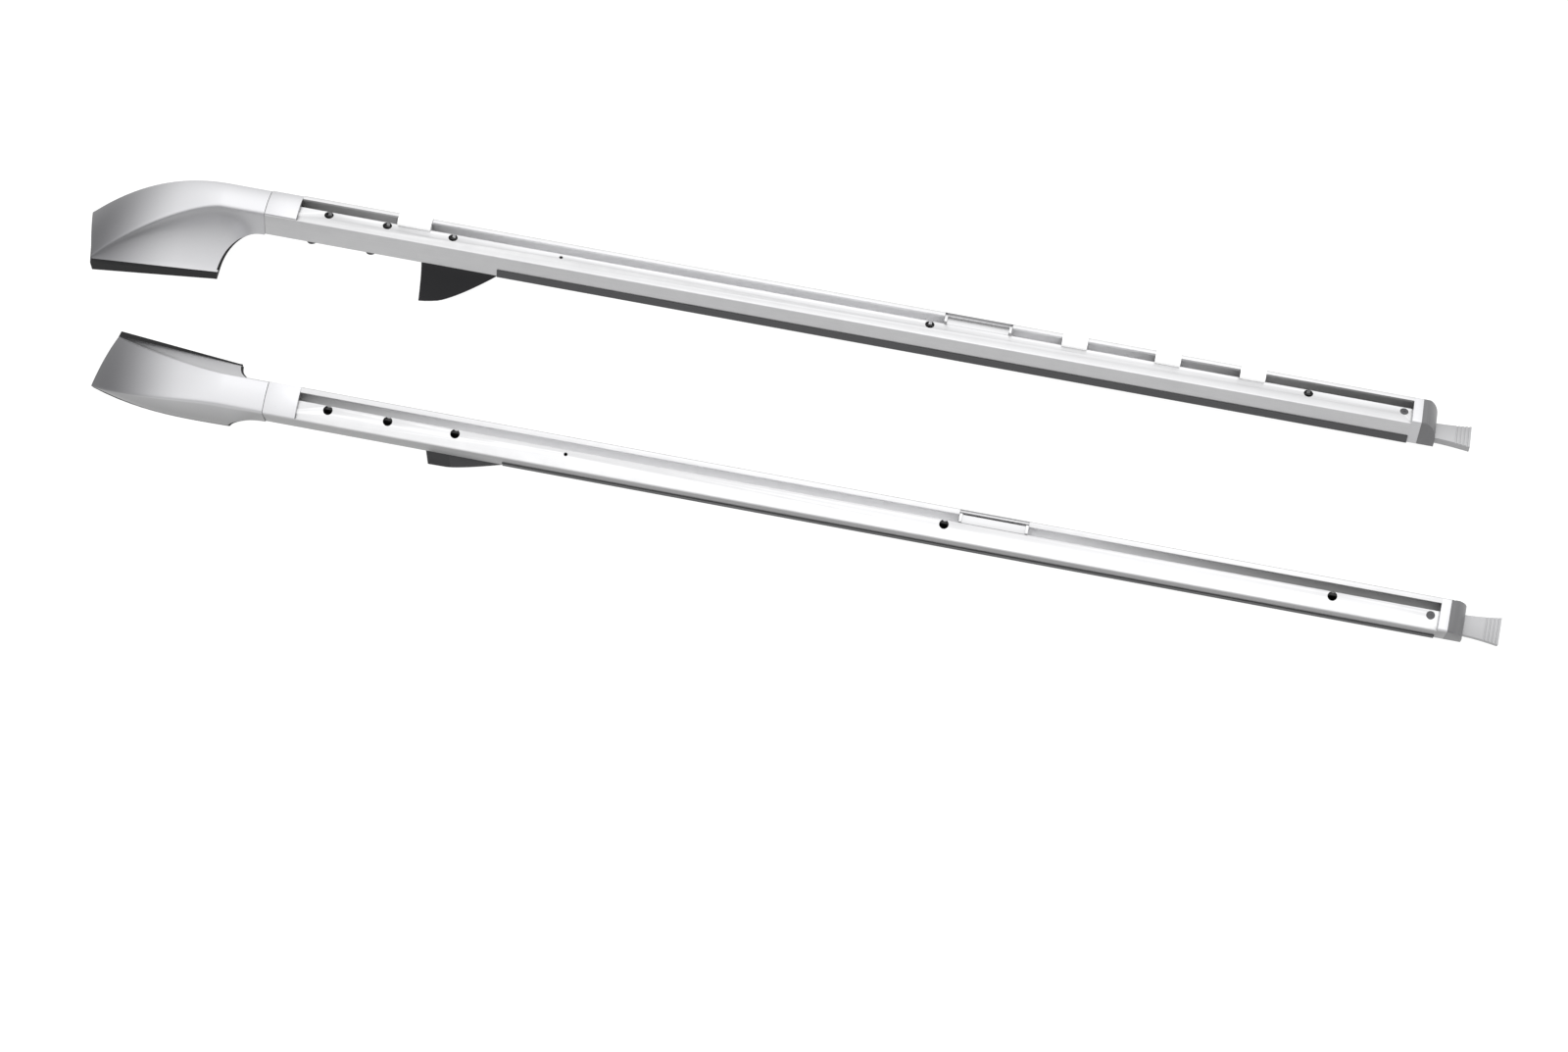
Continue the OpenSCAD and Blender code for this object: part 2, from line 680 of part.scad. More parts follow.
module rear_tongue(side) {
    n = 10;
    x0 = block_x + block_len - 5;
    x1 = total_len;
    function half(u) = mix(tongue_root_w, tongue_end_w, pow(u, 1.8)) / 2;
    color("lightgray") on_bar(side) section_side(side) difference() {
        union() {
            translate([0, 0, -rail_h]) linear_extrude(tongue_t) polygon(concat(
                [for (i = [0 : n]) [mix(x0, x1, i / n), half(i / n)]],
                [for (i = [n : -1 : 0]) [mix(x0, x1, i / n), -half(i / n)]]));
            stem_hole(stem_x, x0 + 1, 0);
        }
        for (k = [0 : 3]) {
            translate([x1 - 4 - 4 * k, -rail_w / 2, -rail_h + tongue_t - 0.8]) cube([1.6, rail_w, 2]);
        }
        translate([x0 + 8, -tongue_root_w / 2 + 3, -rail_h - 1])
            cube([x1 - x0 - 14, tongue_root_w - 6, tongue_t - 2]);
        translate([rear_screw_x, rear_screw_v, -rail_h])
            cylinder(h = rail_h, r = rear_screw_r, $fn = 32);
    }
}
// Screw that goes down through the ledge and pins the tongue in the rail
module rear_screw(side) {
    color("darkgray") on_bar(side) section_side(side) translate([rear_screw_x, rear_screw_v, 0]) {
        translate([0, 0, -cavity_floor + 1.5])
            cylinder(h = cavity_floor - 1.5 - ledge_drop - 1, r = rear_screw_r, $fn = 32);
        translate([0, 0, -ledge_drop - 3.2]) difference() {
            cylinder(h = 2.6, r = rear_head_r, $fn = 32);
            translate([0, 0, 1.2]) cylinder(h = 2.6, r = 2, $fn = 6);
        }
    }
}

rail(1);  // right_rail
rail(-1);  // left_rail
front_foot_cover(1);  // right_front_foot_cover
front_foot_cover(-1);  // left_front_foot_cover
front_track_cap(1);  // right_front_track_cap
front_track_cap(-1);  // left_front_track_cap
front_foot_pad(1);  // right_front_foot_pad
front_foot_pad(-1);  // left_front_foot_pad
front_foot_bracket(1);  // right_front_foot_bracket
front_foot_bracket(-1);  // left_front_foot_bracket
bracket_screws(1);  // right_bracket_screws
bracket_screws(-1);  // left_bracket_screws
foot_inserts(1);  // right_foot_inserts
foot_inserts(-1);  // left_foot_inserts
middle_foot(1);  // right_middle_foot
middle_foot(-1);  // left_middle_foot
middle_foot_pad(1);  // right_middle_foot_pad
middle_foot_pad(-1);  // left_middle_foot_pad
middle_foot_screws(1);  // right_middle_foot_screws
middle_foot_screws(-1);  // left_middle_foot_screws
seal_strip(1);  // right_seal_strip
seal_strip(-1);  // left_seal_strip
track_gate(1);  // right_track_gate
track_gate(-1);  // left_track_gate
track_clips(1);  // right_track_clips
rear_end_collar(1);  // right_rear_end_collar
rear_end_collar(-1);  // left_rear_end_collar
rear_end_block(1);  // right_rear_end_block
rear_end_block(-1);  // left_rear_end_block
rear_tongue(1);  // right_rear_tongue
rear_tongue(-1);  // left_rear_tongue
rear_screw(1);  // right_rear_screw
rear_screw(-1);  // left_rear_screw
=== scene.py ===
"""Looks of a pair of silver roof bars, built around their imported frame.

Each bar has a lipped rail, a moulded front foot on a rubber pad, a black middle foot, a seal strip
along its underside and a tongue behind a dark end block. The scene is in metres, and the sizes of
the bars are given in millimetres.
"""

import json
import logging
import math
from dataclasses import dataclass, field
from enum import Enum

import bmesh
import bpy
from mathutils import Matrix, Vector

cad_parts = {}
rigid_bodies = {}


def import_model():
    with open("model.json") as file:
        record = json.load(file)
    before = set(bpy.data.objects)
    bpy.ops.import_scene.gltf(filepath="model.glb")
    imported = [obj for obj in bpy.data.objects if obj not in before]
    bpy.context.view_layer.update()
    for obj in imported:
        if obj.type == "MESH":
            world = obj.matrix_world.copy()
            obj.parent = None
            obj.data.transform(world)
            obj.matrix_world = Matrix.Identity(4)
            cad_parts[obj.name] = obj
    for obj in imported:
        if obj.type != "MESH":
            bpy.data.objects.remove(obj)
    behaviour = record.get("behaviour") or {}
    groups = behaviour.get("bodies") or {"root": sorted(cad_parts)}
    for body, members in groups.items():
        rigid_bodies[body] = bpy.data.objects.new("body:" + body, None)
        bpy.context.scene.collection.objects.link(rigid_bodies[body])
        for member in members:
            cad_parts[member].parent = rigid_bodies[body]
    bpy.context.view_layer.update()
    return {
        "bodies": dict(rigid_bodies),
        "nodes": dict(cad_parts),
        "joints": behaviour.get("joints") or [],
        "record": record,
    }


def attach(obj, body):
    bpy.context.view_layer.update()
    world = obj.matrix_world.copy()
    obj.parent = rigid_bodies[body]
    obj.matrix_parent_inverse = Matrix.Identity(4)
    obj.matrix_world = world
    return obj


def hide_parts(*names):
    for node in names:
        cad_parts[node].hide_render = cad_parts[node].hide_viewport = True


LOG = logging.getLogger("roof_bars")
BODY = "root"
PHOTO_WIDTH_PX = 1600
MM = 0.001
WHITE = (1.0, 1.0, 1.0, 1.0)

Color = tuple[float, float, float]
Point2 = tuple[float, float]
Point3 = tuple[float, float, float]
Socket = bpy.types.NodeSocket
EDGE_WIDTHS: dict[str, float] = {
    "front_track_cap": 0.5,
    "rear_end_collar": 0.5,
    "rear_end_block": 0.8,
    "rear_tongue": 0.4,
    "track_clips": 0.35,
    "track_gate": 0.3,
}


class Side(Enum):
    """The two bars of the pair, by the sign of their place along Y."""

    RIGHT = 1
    LEFT = -1

    @property
    def prefix(self) -> str:
        """Prefix of the bar's node names."""
        return "right_" if self is Side.RIGHT else "left_"


class NodeBuilder:
    """Adds and links the nodes of one tree."""

    def __init__(self, tree: bpy.types.NodeTree) -> None:
        """Keeps the tree.

        Args:
            tree: The node tree that gets the nodes.
        """
        self.tree = tree
        self.column = 0

    def feed(self, socket: Socket, value: object) -> None:
        """Links an output to an input, or sets the input's own value.

        Args:
            socket: The input.
            value: An output, or a plain value.
        """
        if isinstance(value, Socket):
            self.tree.links.new(value, socket)
        else:
            socket.default_value = value

    def add(self, kind: str, *values: object, **settings: object) -> bpy.types.Node:
        """Adds a node and sets its properties and its inputs.

        Args:
            kind: The node's type name in Blender.
            *values: What feeds the first inputs, in their order.
            **settings: Property values, or what feeds an input, with spaces as underscores.

        Returns:
            The new node.
        """
        node = self.tree.nodes.new(kind)
        self.column += 1
        node.location = (180 * self.column, 0)
        for key, value in settings.items():
            socket = key.replace("_", " ")
            if hasattr(node, key):
                setattr(node, key, value)
            elif socket in node.inputs:
                self.feed(node.inputs[socket], value)
            else:
                raise KeyError(f"{kind} has no {key}")
        for socket, value in zip(node.inputs, values):
            self.feed(socket, value)
        return node

    def calc(self, operation: str, *values: object, clamp: bool = False) -> Socket:
        """Adds a math node.

        Args:
            operation: What it works out.
            *values: Its inputs, in their order.
            clamp: Whether the result stays between 0 and 1.

        Returns:
            The result.
        """
        return self.add("ShaderNodeMath", *values, operation=operation, use_clamp=clamp).outputs[0]

    def blend(self, share: object, start: object, end: object, kind: str = "RGBA") -> Socket:
        """Mixes two colours, or two values.

        Args:
            share: Share of the second one.
            start: The first one.
            end: The second one.
            kind: RGBA or FLOAT.

        Returns:
            The mixture.
        """
        node = self.add("ShaderNodeMix", share, data_type=kind)
        first, result = (6, 2) if kind == "RGBA" else (2, 0)
        self.feed(node.inputs[first], start)
        self.feed(node.inputs[first + 1], end)
        return node.outputs[result]

    def noise(self, place: Socket, scale: object, detail: float, roughness: float) -> Socket:
        """Adds a noise texture.

        Args:
            place: Coordinates.
            scale: Scale of the noise.
            detail: Number of finer layers.
            roughness: Strength of the finer layers.

        Returns:
            The noise as a value.
        """
        node = self.add("ShaderNodeTexNoise", Vector=place, Scale=scale, Detail=detail, Roughness=roughness)
        return node.outputs["Fac"]

    def place(self) -> Socket:
        """Returns the object's own coordinates."""
        return self.add("ShaderNodeTexCoord").outputs["Object"]

    def parts(self, vector: Socket) -> bpy.types.NodeOutputs:
        """Returns the X, Y and Z of a vector."""
        return self.add("ShaderNodeSeparateXYZ", vector).outputs


def new_group(
    name: str, inputs: dict[str, float], outputs: tuple[str, ...] = ("Mask",)
) -> tuple[bpy.types.NodeTree, NodeBuilder, bpy.types.NodeOutputs]:
    """Makes an empty shader group with named sockets.

    Args:
        name: Name of the group.
        inputs: Its inputs and their default values.
        outputs: Its outputs.

    Returns:
        The group, a builder for it and what its inputs give.
    """
    group = bpy.data.node_groups.new(name, "ShaderNodeTree")
    for key, value in inputs.items():
        group.interface.new_socket(name=key, in_out="INPUT", socket_type="NodeSocketFloat").default_value = value
    for key in outputs:
        group.interface.new_socket(name=key, in_out="OUTPUT", socket_type="NodeSocketFloat")
    nb = NodeBuilder(group)
    return group, nb, nb.add("NodeGroupInput").outputs


class SharedEffects:
    """The shader groups that several finishes share, each with a mask as its first output."""

    def __init__(self) -> None:
        """Builds every group once."""
        self.drawn_grain = self._drawn_grain()
        self.mottle = self._mottle()
        self.edge_wear = self._edge_wear()
        self.underside = self._underside()
        self.tip_shade = self._tip_shade()
        self.end_painted_shade = self._end_painted_shade()

    def _tip_shade(self) -> bpy.types.NodeTree:
        """Makes a mask of painted shade that is full at the tips of the front feet and fades behind them."""
        group, nb, given = new_group("tip_shade", {"Tip X": -0.768, "Length": 0.1, "Left Shift": 0.056})
        place = nb.parts(nb.place())
        shift = nb.calc("MULTIPLY", nb.calc("LESS_THAN", place["Y"], 0.0), given["Left Shift"])
        tip = nb.calc("ADD", given["Tip X"], shift)
        back = nb.calc("ADD", tip, given["Length"])
        span = nb.add("ShaderNodeMapRange", place["X"], tip, back, 1.0, 0.0, interpolation_type="SMOOTHSTEP")
        nb.add("NodeGroupOutput", span.outputs[0])
        return group

    def _end_painted_shade(self) -> bpy.types.NodeTree:
        """Makes a mask of painted shade that grows towards both ends of the bars, in the slots."""
        group, nb, given = new_group("end_painted_shade", {"Shade Start": 0.25, "Shade Full": 0.62})
        away = nb.calc("ABSOLUTE", nb.parts(nb.place())["X"])
        span = nb.add("ShaderNodeMapRange", away, given["Shade Start"], given["Shade Full"], interpolation_type="SMOOTHSTEP")
        nb.add("NodeGroupOutput", span.outputs[0])
        return group

    def _underside(self) -> bpy.types.NodeTree:
        """Makes a mask of the faces that turn towards the ground, for painted shade that darkens them."""
        group, nb, given = new_group("underside", {"Start": -0.08, "Full": -0.2})
        normal = nb.parts(nb.add("ShaderNodeNewGeometry").outputs["Normal"])
        span = nb.add("ShaderNodeMapRange", normal["Z"], given["Start"], given["Full"])
        nb.add("NodeGroupOutput", span.outputs[0])
        return group

    def _drawn_grain(self) -> bpy.types.NodeTree:
        """Makes the fine lines along X that drawn metal has."""
        group, nb, given = new_group("drawn_grain", {"Line Scale": 900.0, "Stretch": 0.012}, ("Mask", "Height"))
        place = nb.parts(nb.place())
        along = nb.calc("MULTIPLY", place["X"], given["Stretch"])
        drawn = nb.add("ShaderNodeCombineXYZ", along, place["Y"], place["Z"])
        lines = nb.noise(drawn.outputs[0], given["Line Scale"], 3.0, 0.6)
        nb.add("NodeGroupOutput", lines, lines)
        return group

    def _mottle(self) -> bpy.types.NodeTree:
        """Makes soft clouds at two sizes, for paint, castings and moulded plastic."""
        sizes = {"Cloud Scale": 18.0, "Grain Scale": 900.0, "Grain Share": 0.5}
        group, nb, given = new_group("mottle", sizes, ("Mask", "Height"))
        place = nb.place()
        cloud = nb.noise(place, given["Cloud Scale"], 4.0, 0.55)
        grain = nb.noise(place, given["Grain Scale"], 2.0, 0.6)
        nb.add("NodeGroupOutput", nb.blend(given["Grain Share"], cloud, grain, "FLOAT"), grain)
        return group

    def _edge_wear(self) -> bpy.types.NodeTree:
        """Makes a mask of the worn convex edges, broken up by noise."""
        group, nb, given = new_group("edge_wear", {"Sharpness": 14.0, "Break Up": 60.0, "Flat": 0.52})
        pointed = nb.add("ShaderNodeNewGeometry").outputs["Pointiness"]
        strong = nb.calc("MULTIPLY", nb.calc("SUBTRACT", pointed, given["Flat"]), given["Sharpness"], clamp=True)
        noise = nb.noise(nb.place(), given["Break Up"], 3.0, 0.5)
        nb.add("NodeGroupOutput", nb.calc("MULTIPLY", strong, noise, clamp=True))
        return group


@dataclass(frozen=True)
class Finish:
    """One surface finish: its colour, how it shines and which shared effects it uses."""

    name: str
    base: Color
    shade: Color
    roughness: float
    metallic: float = 0.0
    specular: float = 0.5
    coat: float = 0.0
    coat_roughness: float = 0.12
    drawn: bool = False
    line_scale: float = 900.0
    cloud_scale: float = 18.0
    grain_scale: float = 900.0
    grain_share: float = 0.5
    rough_swing: float = 0.08
    bump: float = 0.1
    bump_depth: float = 0.0001
    wear: float = 0.0
    wear_color: Color = (0.8, 0.8, 0.8)
    # Painted shade on faces that turn towards the ground: its share and colour.
    under: float = 0.0
    downward_shade_color: Color = (0.14, 0.14, 0.142)
    # Painted shade at the tips of the front feet: its share and colour.
    tip: float = 0.0
    tip_color: Color = (0.105, 0.105, 0.11)
    # Painted shade in the slots towards both ends of the bars: its share and colour.
    end_shade: float = 0.0
    end_shade_color: Color = (0.2, 0.2, 0.2)

    def build(self, effects: SharedEffects) -> bpy.types.Material:
        """Makes the material.

        Args:
            effects: The shared shader groups.

        Returns:
            The finished material.
        """
        material = bpy.data.materials.new(self.name)
        material.use_nodes = True
        material.node_tree.nodes.clear()
        nb = NodeBuilder(material.node_tree)
        if self.drawn:
            effect = nb.add("ShaderNodeGroup", node_tree=effects.drawn_grain, Line_Scale=self.line_scale)
        else:
            effect = nb.add(
                "ShaderNodeGroup",
                node_tree=effects.mottle,
                Cloud_Scale=self.cloud_scale,
                Grain_Scale=self.grain_scale,
                Grain_Share=self.grain_share,
            )
        mask = effect.outputs["Mask"]
        color = nb.blend(mask, (*self.shade, 1.0), (*self.base, 1.0))
        # Edge wear is the thing's own wear; the other masks mix painted shade into the colour.
        for share, group, tone in (
            (self.wear, effects.edge_wear, self.wear_color),
            (self.under, effects.underside, self.downward_shade_color),
            (self.tip, effects.tip_shade, self.tip_color),
            (self.end_shade, effects.end_painted_shade, self.end_shade_color),
        ):
            if share > 0.0:
                where = nb.add("ShaderNodeGroup", node_tree=group).outputs["Mask"]
                color = nb.blend(nb.calc("MULTIPLY", where, share, clamp=True), color, (*tone, 1.0))
        low, high = self.roughness - self.rough_swing, self.roughness + self.rough_swing
        rough = nb.add("ShaderNodeMapRange", mask, 0.0, 1.0, low, high)
        bump = nb.add(
            "ShaderNodeBump", Strength=self.bump, Distance=self.bump_depth, Height=effect.outputs["Height"]
        )
        shader = nb.add(
            "ShaderNodeBsdfPrincipled",
            Base_Color=color,
            Metallic=self.metallic,
            Roughness=rough.outputs[0],
            Specular_IOR_Level=self.specular,
            Coat_Weight=self.coat,
            Coat_Roughness=self.coat_roughness,
            Normal=bump.outputs["Normal"],
        )
        nb.add("ShaderNodeOutputMaterial", Surface=shader.outputs[0])
        return material


ALL_FINISHES = (
    # Drawn rail: under paints shade on its faces turned to the ground.
    Finish(
        "silver_metal", (0.42, 0.42, 0.425), (0.36, 0.36, 0.365), 0.32, metallic=0.9, drawn=True, bump=0.15, wear=0.3,
        under=0.85,
    ),
    # Foot covers: under and tip paint shade on faces turned to the ground and at the tips of the feet.
    Finish(
        "silver_paint", (0.42, 0.42, 0.43), (0.38, 0.38, 0.39), 0.3, metallic=0.9, coat=0.1, bump=0.06, wear=0.15,
        under=0.95, tip=0.95,
    ),
    Finish("cast_metal", (0.4, 0.4, 0.4), (0.3, 0.3, 0.3), 0.6, metallic=0.8, bump=0.5),
    Finish(
        "tongue_metal", (0.3, 0.3, 0.305), (0.24, 0.24, 0.245), 0.45, metallic=0.7, grain_scale=1400.0, bump=0.3
    ),
    Finish("screw_steel", (0.07, 0.07, 0.072), (0.05, 0.05, 0.052), 0.4, metallic=0.9),
    Finish("brass", (0.6, 0.42, 0.2), (0.5, 0.34, 0.16), 0.35, metallic=0.9),
    Finish("rubber", (0.01, 0.01, 0.011), (0.006, 0.006, 0.006), 0.7, specular=0.2, bump=0.3),
    Finish("strip_rubber", (0.04, 0.04, 0.042), (0.03, 0.03, 0.032), 0.6, specular=0.4, bump=0.15),
    Finish(
        "black_plastic", (0.009, 0.009, 0.01), (0.005, 0.005, 0.006), 0.55, specular=0.2, bump=0.35, wear=0.15,
        wear_color=(0.06, 0.06, 0.065),
    ),
    Finish(
        "grey_plastic", (0.095, 0.095, 0.098), (0.07, 0.07, 0.073), 0.4, specular=0.4, bump=0.2, wear=0.3,
        wear_color=(0.3, 0.3, 0.3),
    ),
    Finish("clip_plastic", (0.8, 0.8, 0.8), (0.7, 0.7, 0.7), 0.35, bump=0.08),
    # Slot faces: a lighter copy of the rail's metal as painted light, darkening to painted shade towards the ends of
    # the bars.
    Finish(
        "slot_painted_light", (0.72, 0.72, 0.73), (0.62, 0.62, 0.63), 0.5, metallic=0.4, drawn=True, bump=0.1, end_shade=0.9
    ),
    # Faces inside the rail's hollow and holes: near black as painted shade.
    Finish("hollow_painted_shade", (0.035, 0.035, 0.036), (0.02, 0.02, 0.02), 0.7, metallic=0.3, bump=0.3),
)
FINISHES: dict[str, Finish] = {finish.name: finish for finish in ALL_FINISHES}


def link_object(name: str, data: bpy.types.ID) -> bpy.types.Object:
    """Makes an object and links it to the scene.

    Args:
        name: Name of the object.
        data: Its mesh, camera, light or curve.

    Returns:
        The object.
    """
    made = bpy.data.objects.new(name, data)
    bpy.context.scene.collection.objects.link(made)
    return made


@dataclass
class Studio:
    """Floor, light and camera."""

    azimuth_deg: float = 11.0
    elevation_deg: float = 62.54
    distance: float = 4.3424
    focal_px: float = 4231.0
    target: Point3 = (0.0303, -0.1261, 0.0)
    sensor_width_mm: float = 36.0
    far: float = 50.0
    floor_size: float = 12.0
    floor_color: Color = (0.12, 0.12, 0.12)
    floor_roughness: float = 0.9
    floor_glow: float = 0.92
    sky_base: float = 1.2
    sky_least: float = 0.05
    sky_lobes: tuple[tuple[Point3, float, float], ...] = (
        ((0.0, 0.8, 0.6), 5.0, 0.6),
        ((0.0, 0.0, 1.0), 1.0, 1.05),
        ((0.0, -0.95, 0.3), 3.0, -0.25),
        ((-0.93, 0.15, 0.33), 7.0, -0.35),
    )
    box_place: Point3 = (0.6, 0.5, 2.6)
    box_aim: Point3 = (0.1, 0.0, 0.0)
    box_size: Point2 = (2.6, 2.0)
    box_watts: float = 6.0

    def build(self) -> None:
        """Makes all of the studio."""
        self._camera()
        self._floor()
        self._sky()
        self._softbox()

    def _camera(self) -> None:
        """Places the camera at the photograph's angle."""
        data = bpy.data.cameras.new("camera")
        data.sensor_width = self.sensor_width_mm
        data.lens = self.focal_px / PHOTO_WIDTH_PX * self.sensor_width_mm
        data.clip_end = self.far
        camera = link_object("camera", data)
        a, e = math.radians(self.azimuth_deg), math.radians(self.elevation_deg)
        back = Vector((math.sin(a) * math.cos(e), -math.cos(a) * math.cos(e), math.sin(e)))
        camera.location = Vector(self.target) + back * self.distance
        camera.rotation_mode = "QUATERNION"
        camera.rotation_quaternion = (-back).to_track_quat("-Z", "Y")
        bpy.context.scene.camera = camera

    def _floor(self) -> None:
        """Makes the pale floor."""
        half = self.floor_size / 2
        mesh = bpy.data.meshes.new("floor")
        mesh.from_pydata([(-half, -half, 0), (half, -half, 0), (half, half, 0), (-half, half, 0)], [], [(0, 1, 2, 3)])
        material = bpy.data.materials.new("floor")
        material.use_nodes = True
        shader = material.node_tree.nodes["Principled BSDF"]
        shader.inputs["Base Color"].default_value = (*self.floor_color, 1.0)
        shader.inputs["Roughness"].default_value = self.floor_roughness
        shader.inputs["Emission Color"].default_value = WHITE
        shader.inputs["Emission Strength"].default_value = self.floor_glow
        mesh.materials.append(material)
        link_object("floor", mesh)

    def _sky(self) -> None:
        """Fills the world with soft light: bright overhead and behind, dimmer beyond the front ends."""
        world = bpy.data.worlds.new("studio")
        world.use_nodes = True
        bpy.context.scene.world = world
        nb = NodeBuilder(world.node_tree)
        outward = nb.add("ShaderNodeTexCoord").outputs["Generated"]
        total: object = self.sky_base
        for toward, sharpness, strength in self.sky_lobes:
            facing = nb.add("ShaderNodeVectorMath", outward, Vector(toward).normalized(), operation="DOT_PRODUCT")
            lobe = nb.calc("POWER", nb.calc("MAXIMUM", facing.outputs["Value"], 0.0), sharpness)
            total = nb.calc("ADD", total, nb.calc("MULTIPLY", lobe, strength))
        background = world.node_tree.nodes["Background"]
        nb.feed(background.inputs["Color"], WHITE)
        nb.feed(background.inputs["Strength"], nb.calc("MAXIMUM", total, self.sky_least))

    def _softbox(self) -> None:
        """Makes one rectangular soft light overhead."""
        data = bpy.data.lights.new("softbox_top", "AREA")
        data.shape = "RECTANGLE"
        data.size, data.size_y = self.box_size
        data.energy = self.box_watts
        light = link_object("softbox_top", data)
        light.location = self.box_place
        light.rotation_mode = "QUATERNION"
        light.rotation_quaternion = (Vector(self.box_aim) - Vector(self.box_place)).to_track_quat("-Z", "Y")


def mix(a: float, b: float, t: float) -> float:
    """Returns the value a share t of the way from a to b."""
    return a + (b - a) * t


def ramp(t: float) -> float:
    """Returns t kept between 0 and 1."""
    return max(0.0, min(1.0, t))


def smooth(t: float) -> float:
    """Returns t eased at both of its ends."""
    u = ramp(t)
    return u * u * (3 - 2 * u)


@dataclass(frozen=True)
class BarPlan:
    """Sizes of a bar in millimetres and degrees, the same as in part.scad."""

    spacing: float = 234.0
    stagger: float = 56.0
    lean: float = 13.0
    axis_h: float = 78.0
    tip_slant: float = 16.0
    track_end_x: float = 1423.0
    seam_x: float = 185.0
    rail_w: float = 35.0
    rail_h: float = 35.2
    strip_t: float = 1.3
    rail_wall: float = 2.8
    ledge_web: float = 4.2
    ledge_drop: float = 4.4
    slot_w: float = 8.0
    slot_depth: float = 16.0
    slot_wall: float = 2.6
    ridge_w: float = 6.2
    hole_r: float = 5.0
    hole_inset: float = 4.7
    hole_steps: tuple[float, ...] = (32.0, 96.0, 168.0, 686.0, 1092.0)
    cap_len: float = 35.0
    corner_r: float = 2.4
    strip_side_t: float = 1.0
    collar_len: float = 10.0
    block_len: float = 18.0
    tongue_len: float = 38.0

    @property
    def half_w(self) -> float:
        """Half the width of the rail."""
        return self.rail_w / 2

    @property
    def total_len(self) -> float:
        """Length of a bar from the tip of its foot to the end of its tongue."""
        return self.track_end_x + self.collar_len + self.block_len + self.tongue_len

    @property
    def fall(self) -> float:
        """Angle in radians by which the ridge line falls towards the rear."""
        lean = math.radians(self.lean)
        rest_r = self.corner_r + self.strip_side_t
        across = (self.half_w + self.strip_side_t - rest_r) * math.sin(lean)
        down = (self.rail_h + self.strip_t - rest_r) * math.cos(lean)
        return math.atan((self.axis_h - across - down - rest_r) / self.track_end_x)

    def up_y(self, v: float, w: float) -> float:
        """Returns the level offset outward of a point drawn in the leaning section."""
        lean = math.radians(self.lean)
        return v * math.cos(lean) + w * math.sin(lean)

    def up_z(self, v: float, w: float) -> float:
        """Returns the height offset of a point drawn in the leaning section."""
        lean = math.radians(self.lean)
        return w * math.cos(lean) - v * math.sin(lean)

    def line_h(self, x: float) -> float:
        """Returns the height of the ridge line at a station along the bar."""
        return self.axis_h - x * math.tan(self.fall)

    def leaned(self, point: Point3) -> Point3:
        """Turns a point of the leaning frame into the bar's level frame.

        Args:
            point: Station, outward offset and height from the ridge line.

        Returns:
            The point over the ground, still beside its own bar.
        """
        x, v, w = point
        y, z = self.up_y(v, w), self.up_z(v, w)
        c, s = math.cos(self.fall), math.sin(self.fall)
        return x * c + z * s, y, self.axis_h - x * s + z * c

    def section_point(self, side: Side, place: Vector) -> Point3:
        """Turns a place in the scene into a station and a point of the rail's section.

        Args:
            side: Which bar.
            place: Place in metres.

        Returns:
            Station, offset towards the slot's side and height from the ridge line, in millimetres.
        """
        lean, zero = math.radians(self.lean), self.place(side, (0.0, 0.0, 0.0))
        x = (place.x - zero[0]) / MM
        y = side.value * (place.y - zero[1]) / MM
        z = place.z / MM - self.axis_h
        c, s = math.cos(self.fall), math.sin(self.fall)
        station, up = x * c - z * s, x * s + z * c
        v = y * math.cos(lean) - up * math.sin(lean)
        return station, side.value * v, y * math.sin(lean) + up * math.cos(lean)

    def place(self, side: Side, point: Point3) -> Point3:
        """Turns a point of the bar's level frame into the scene's frame in metres.

        Args:
            side: Which bar.
            point: Point in millimetres.

        Returns:
            The point in metres.
        """
        x0 = -(self.total_len - self.tip_slant + self.stagger) / 2
        x0 += self.stagger if side is Side.LEFT else 0.0
        return (
            (point[0] + x0) * MM,
            side.value * (self.spacing / 2 + point[1]) * MM,
            point[2] * MM,
        )


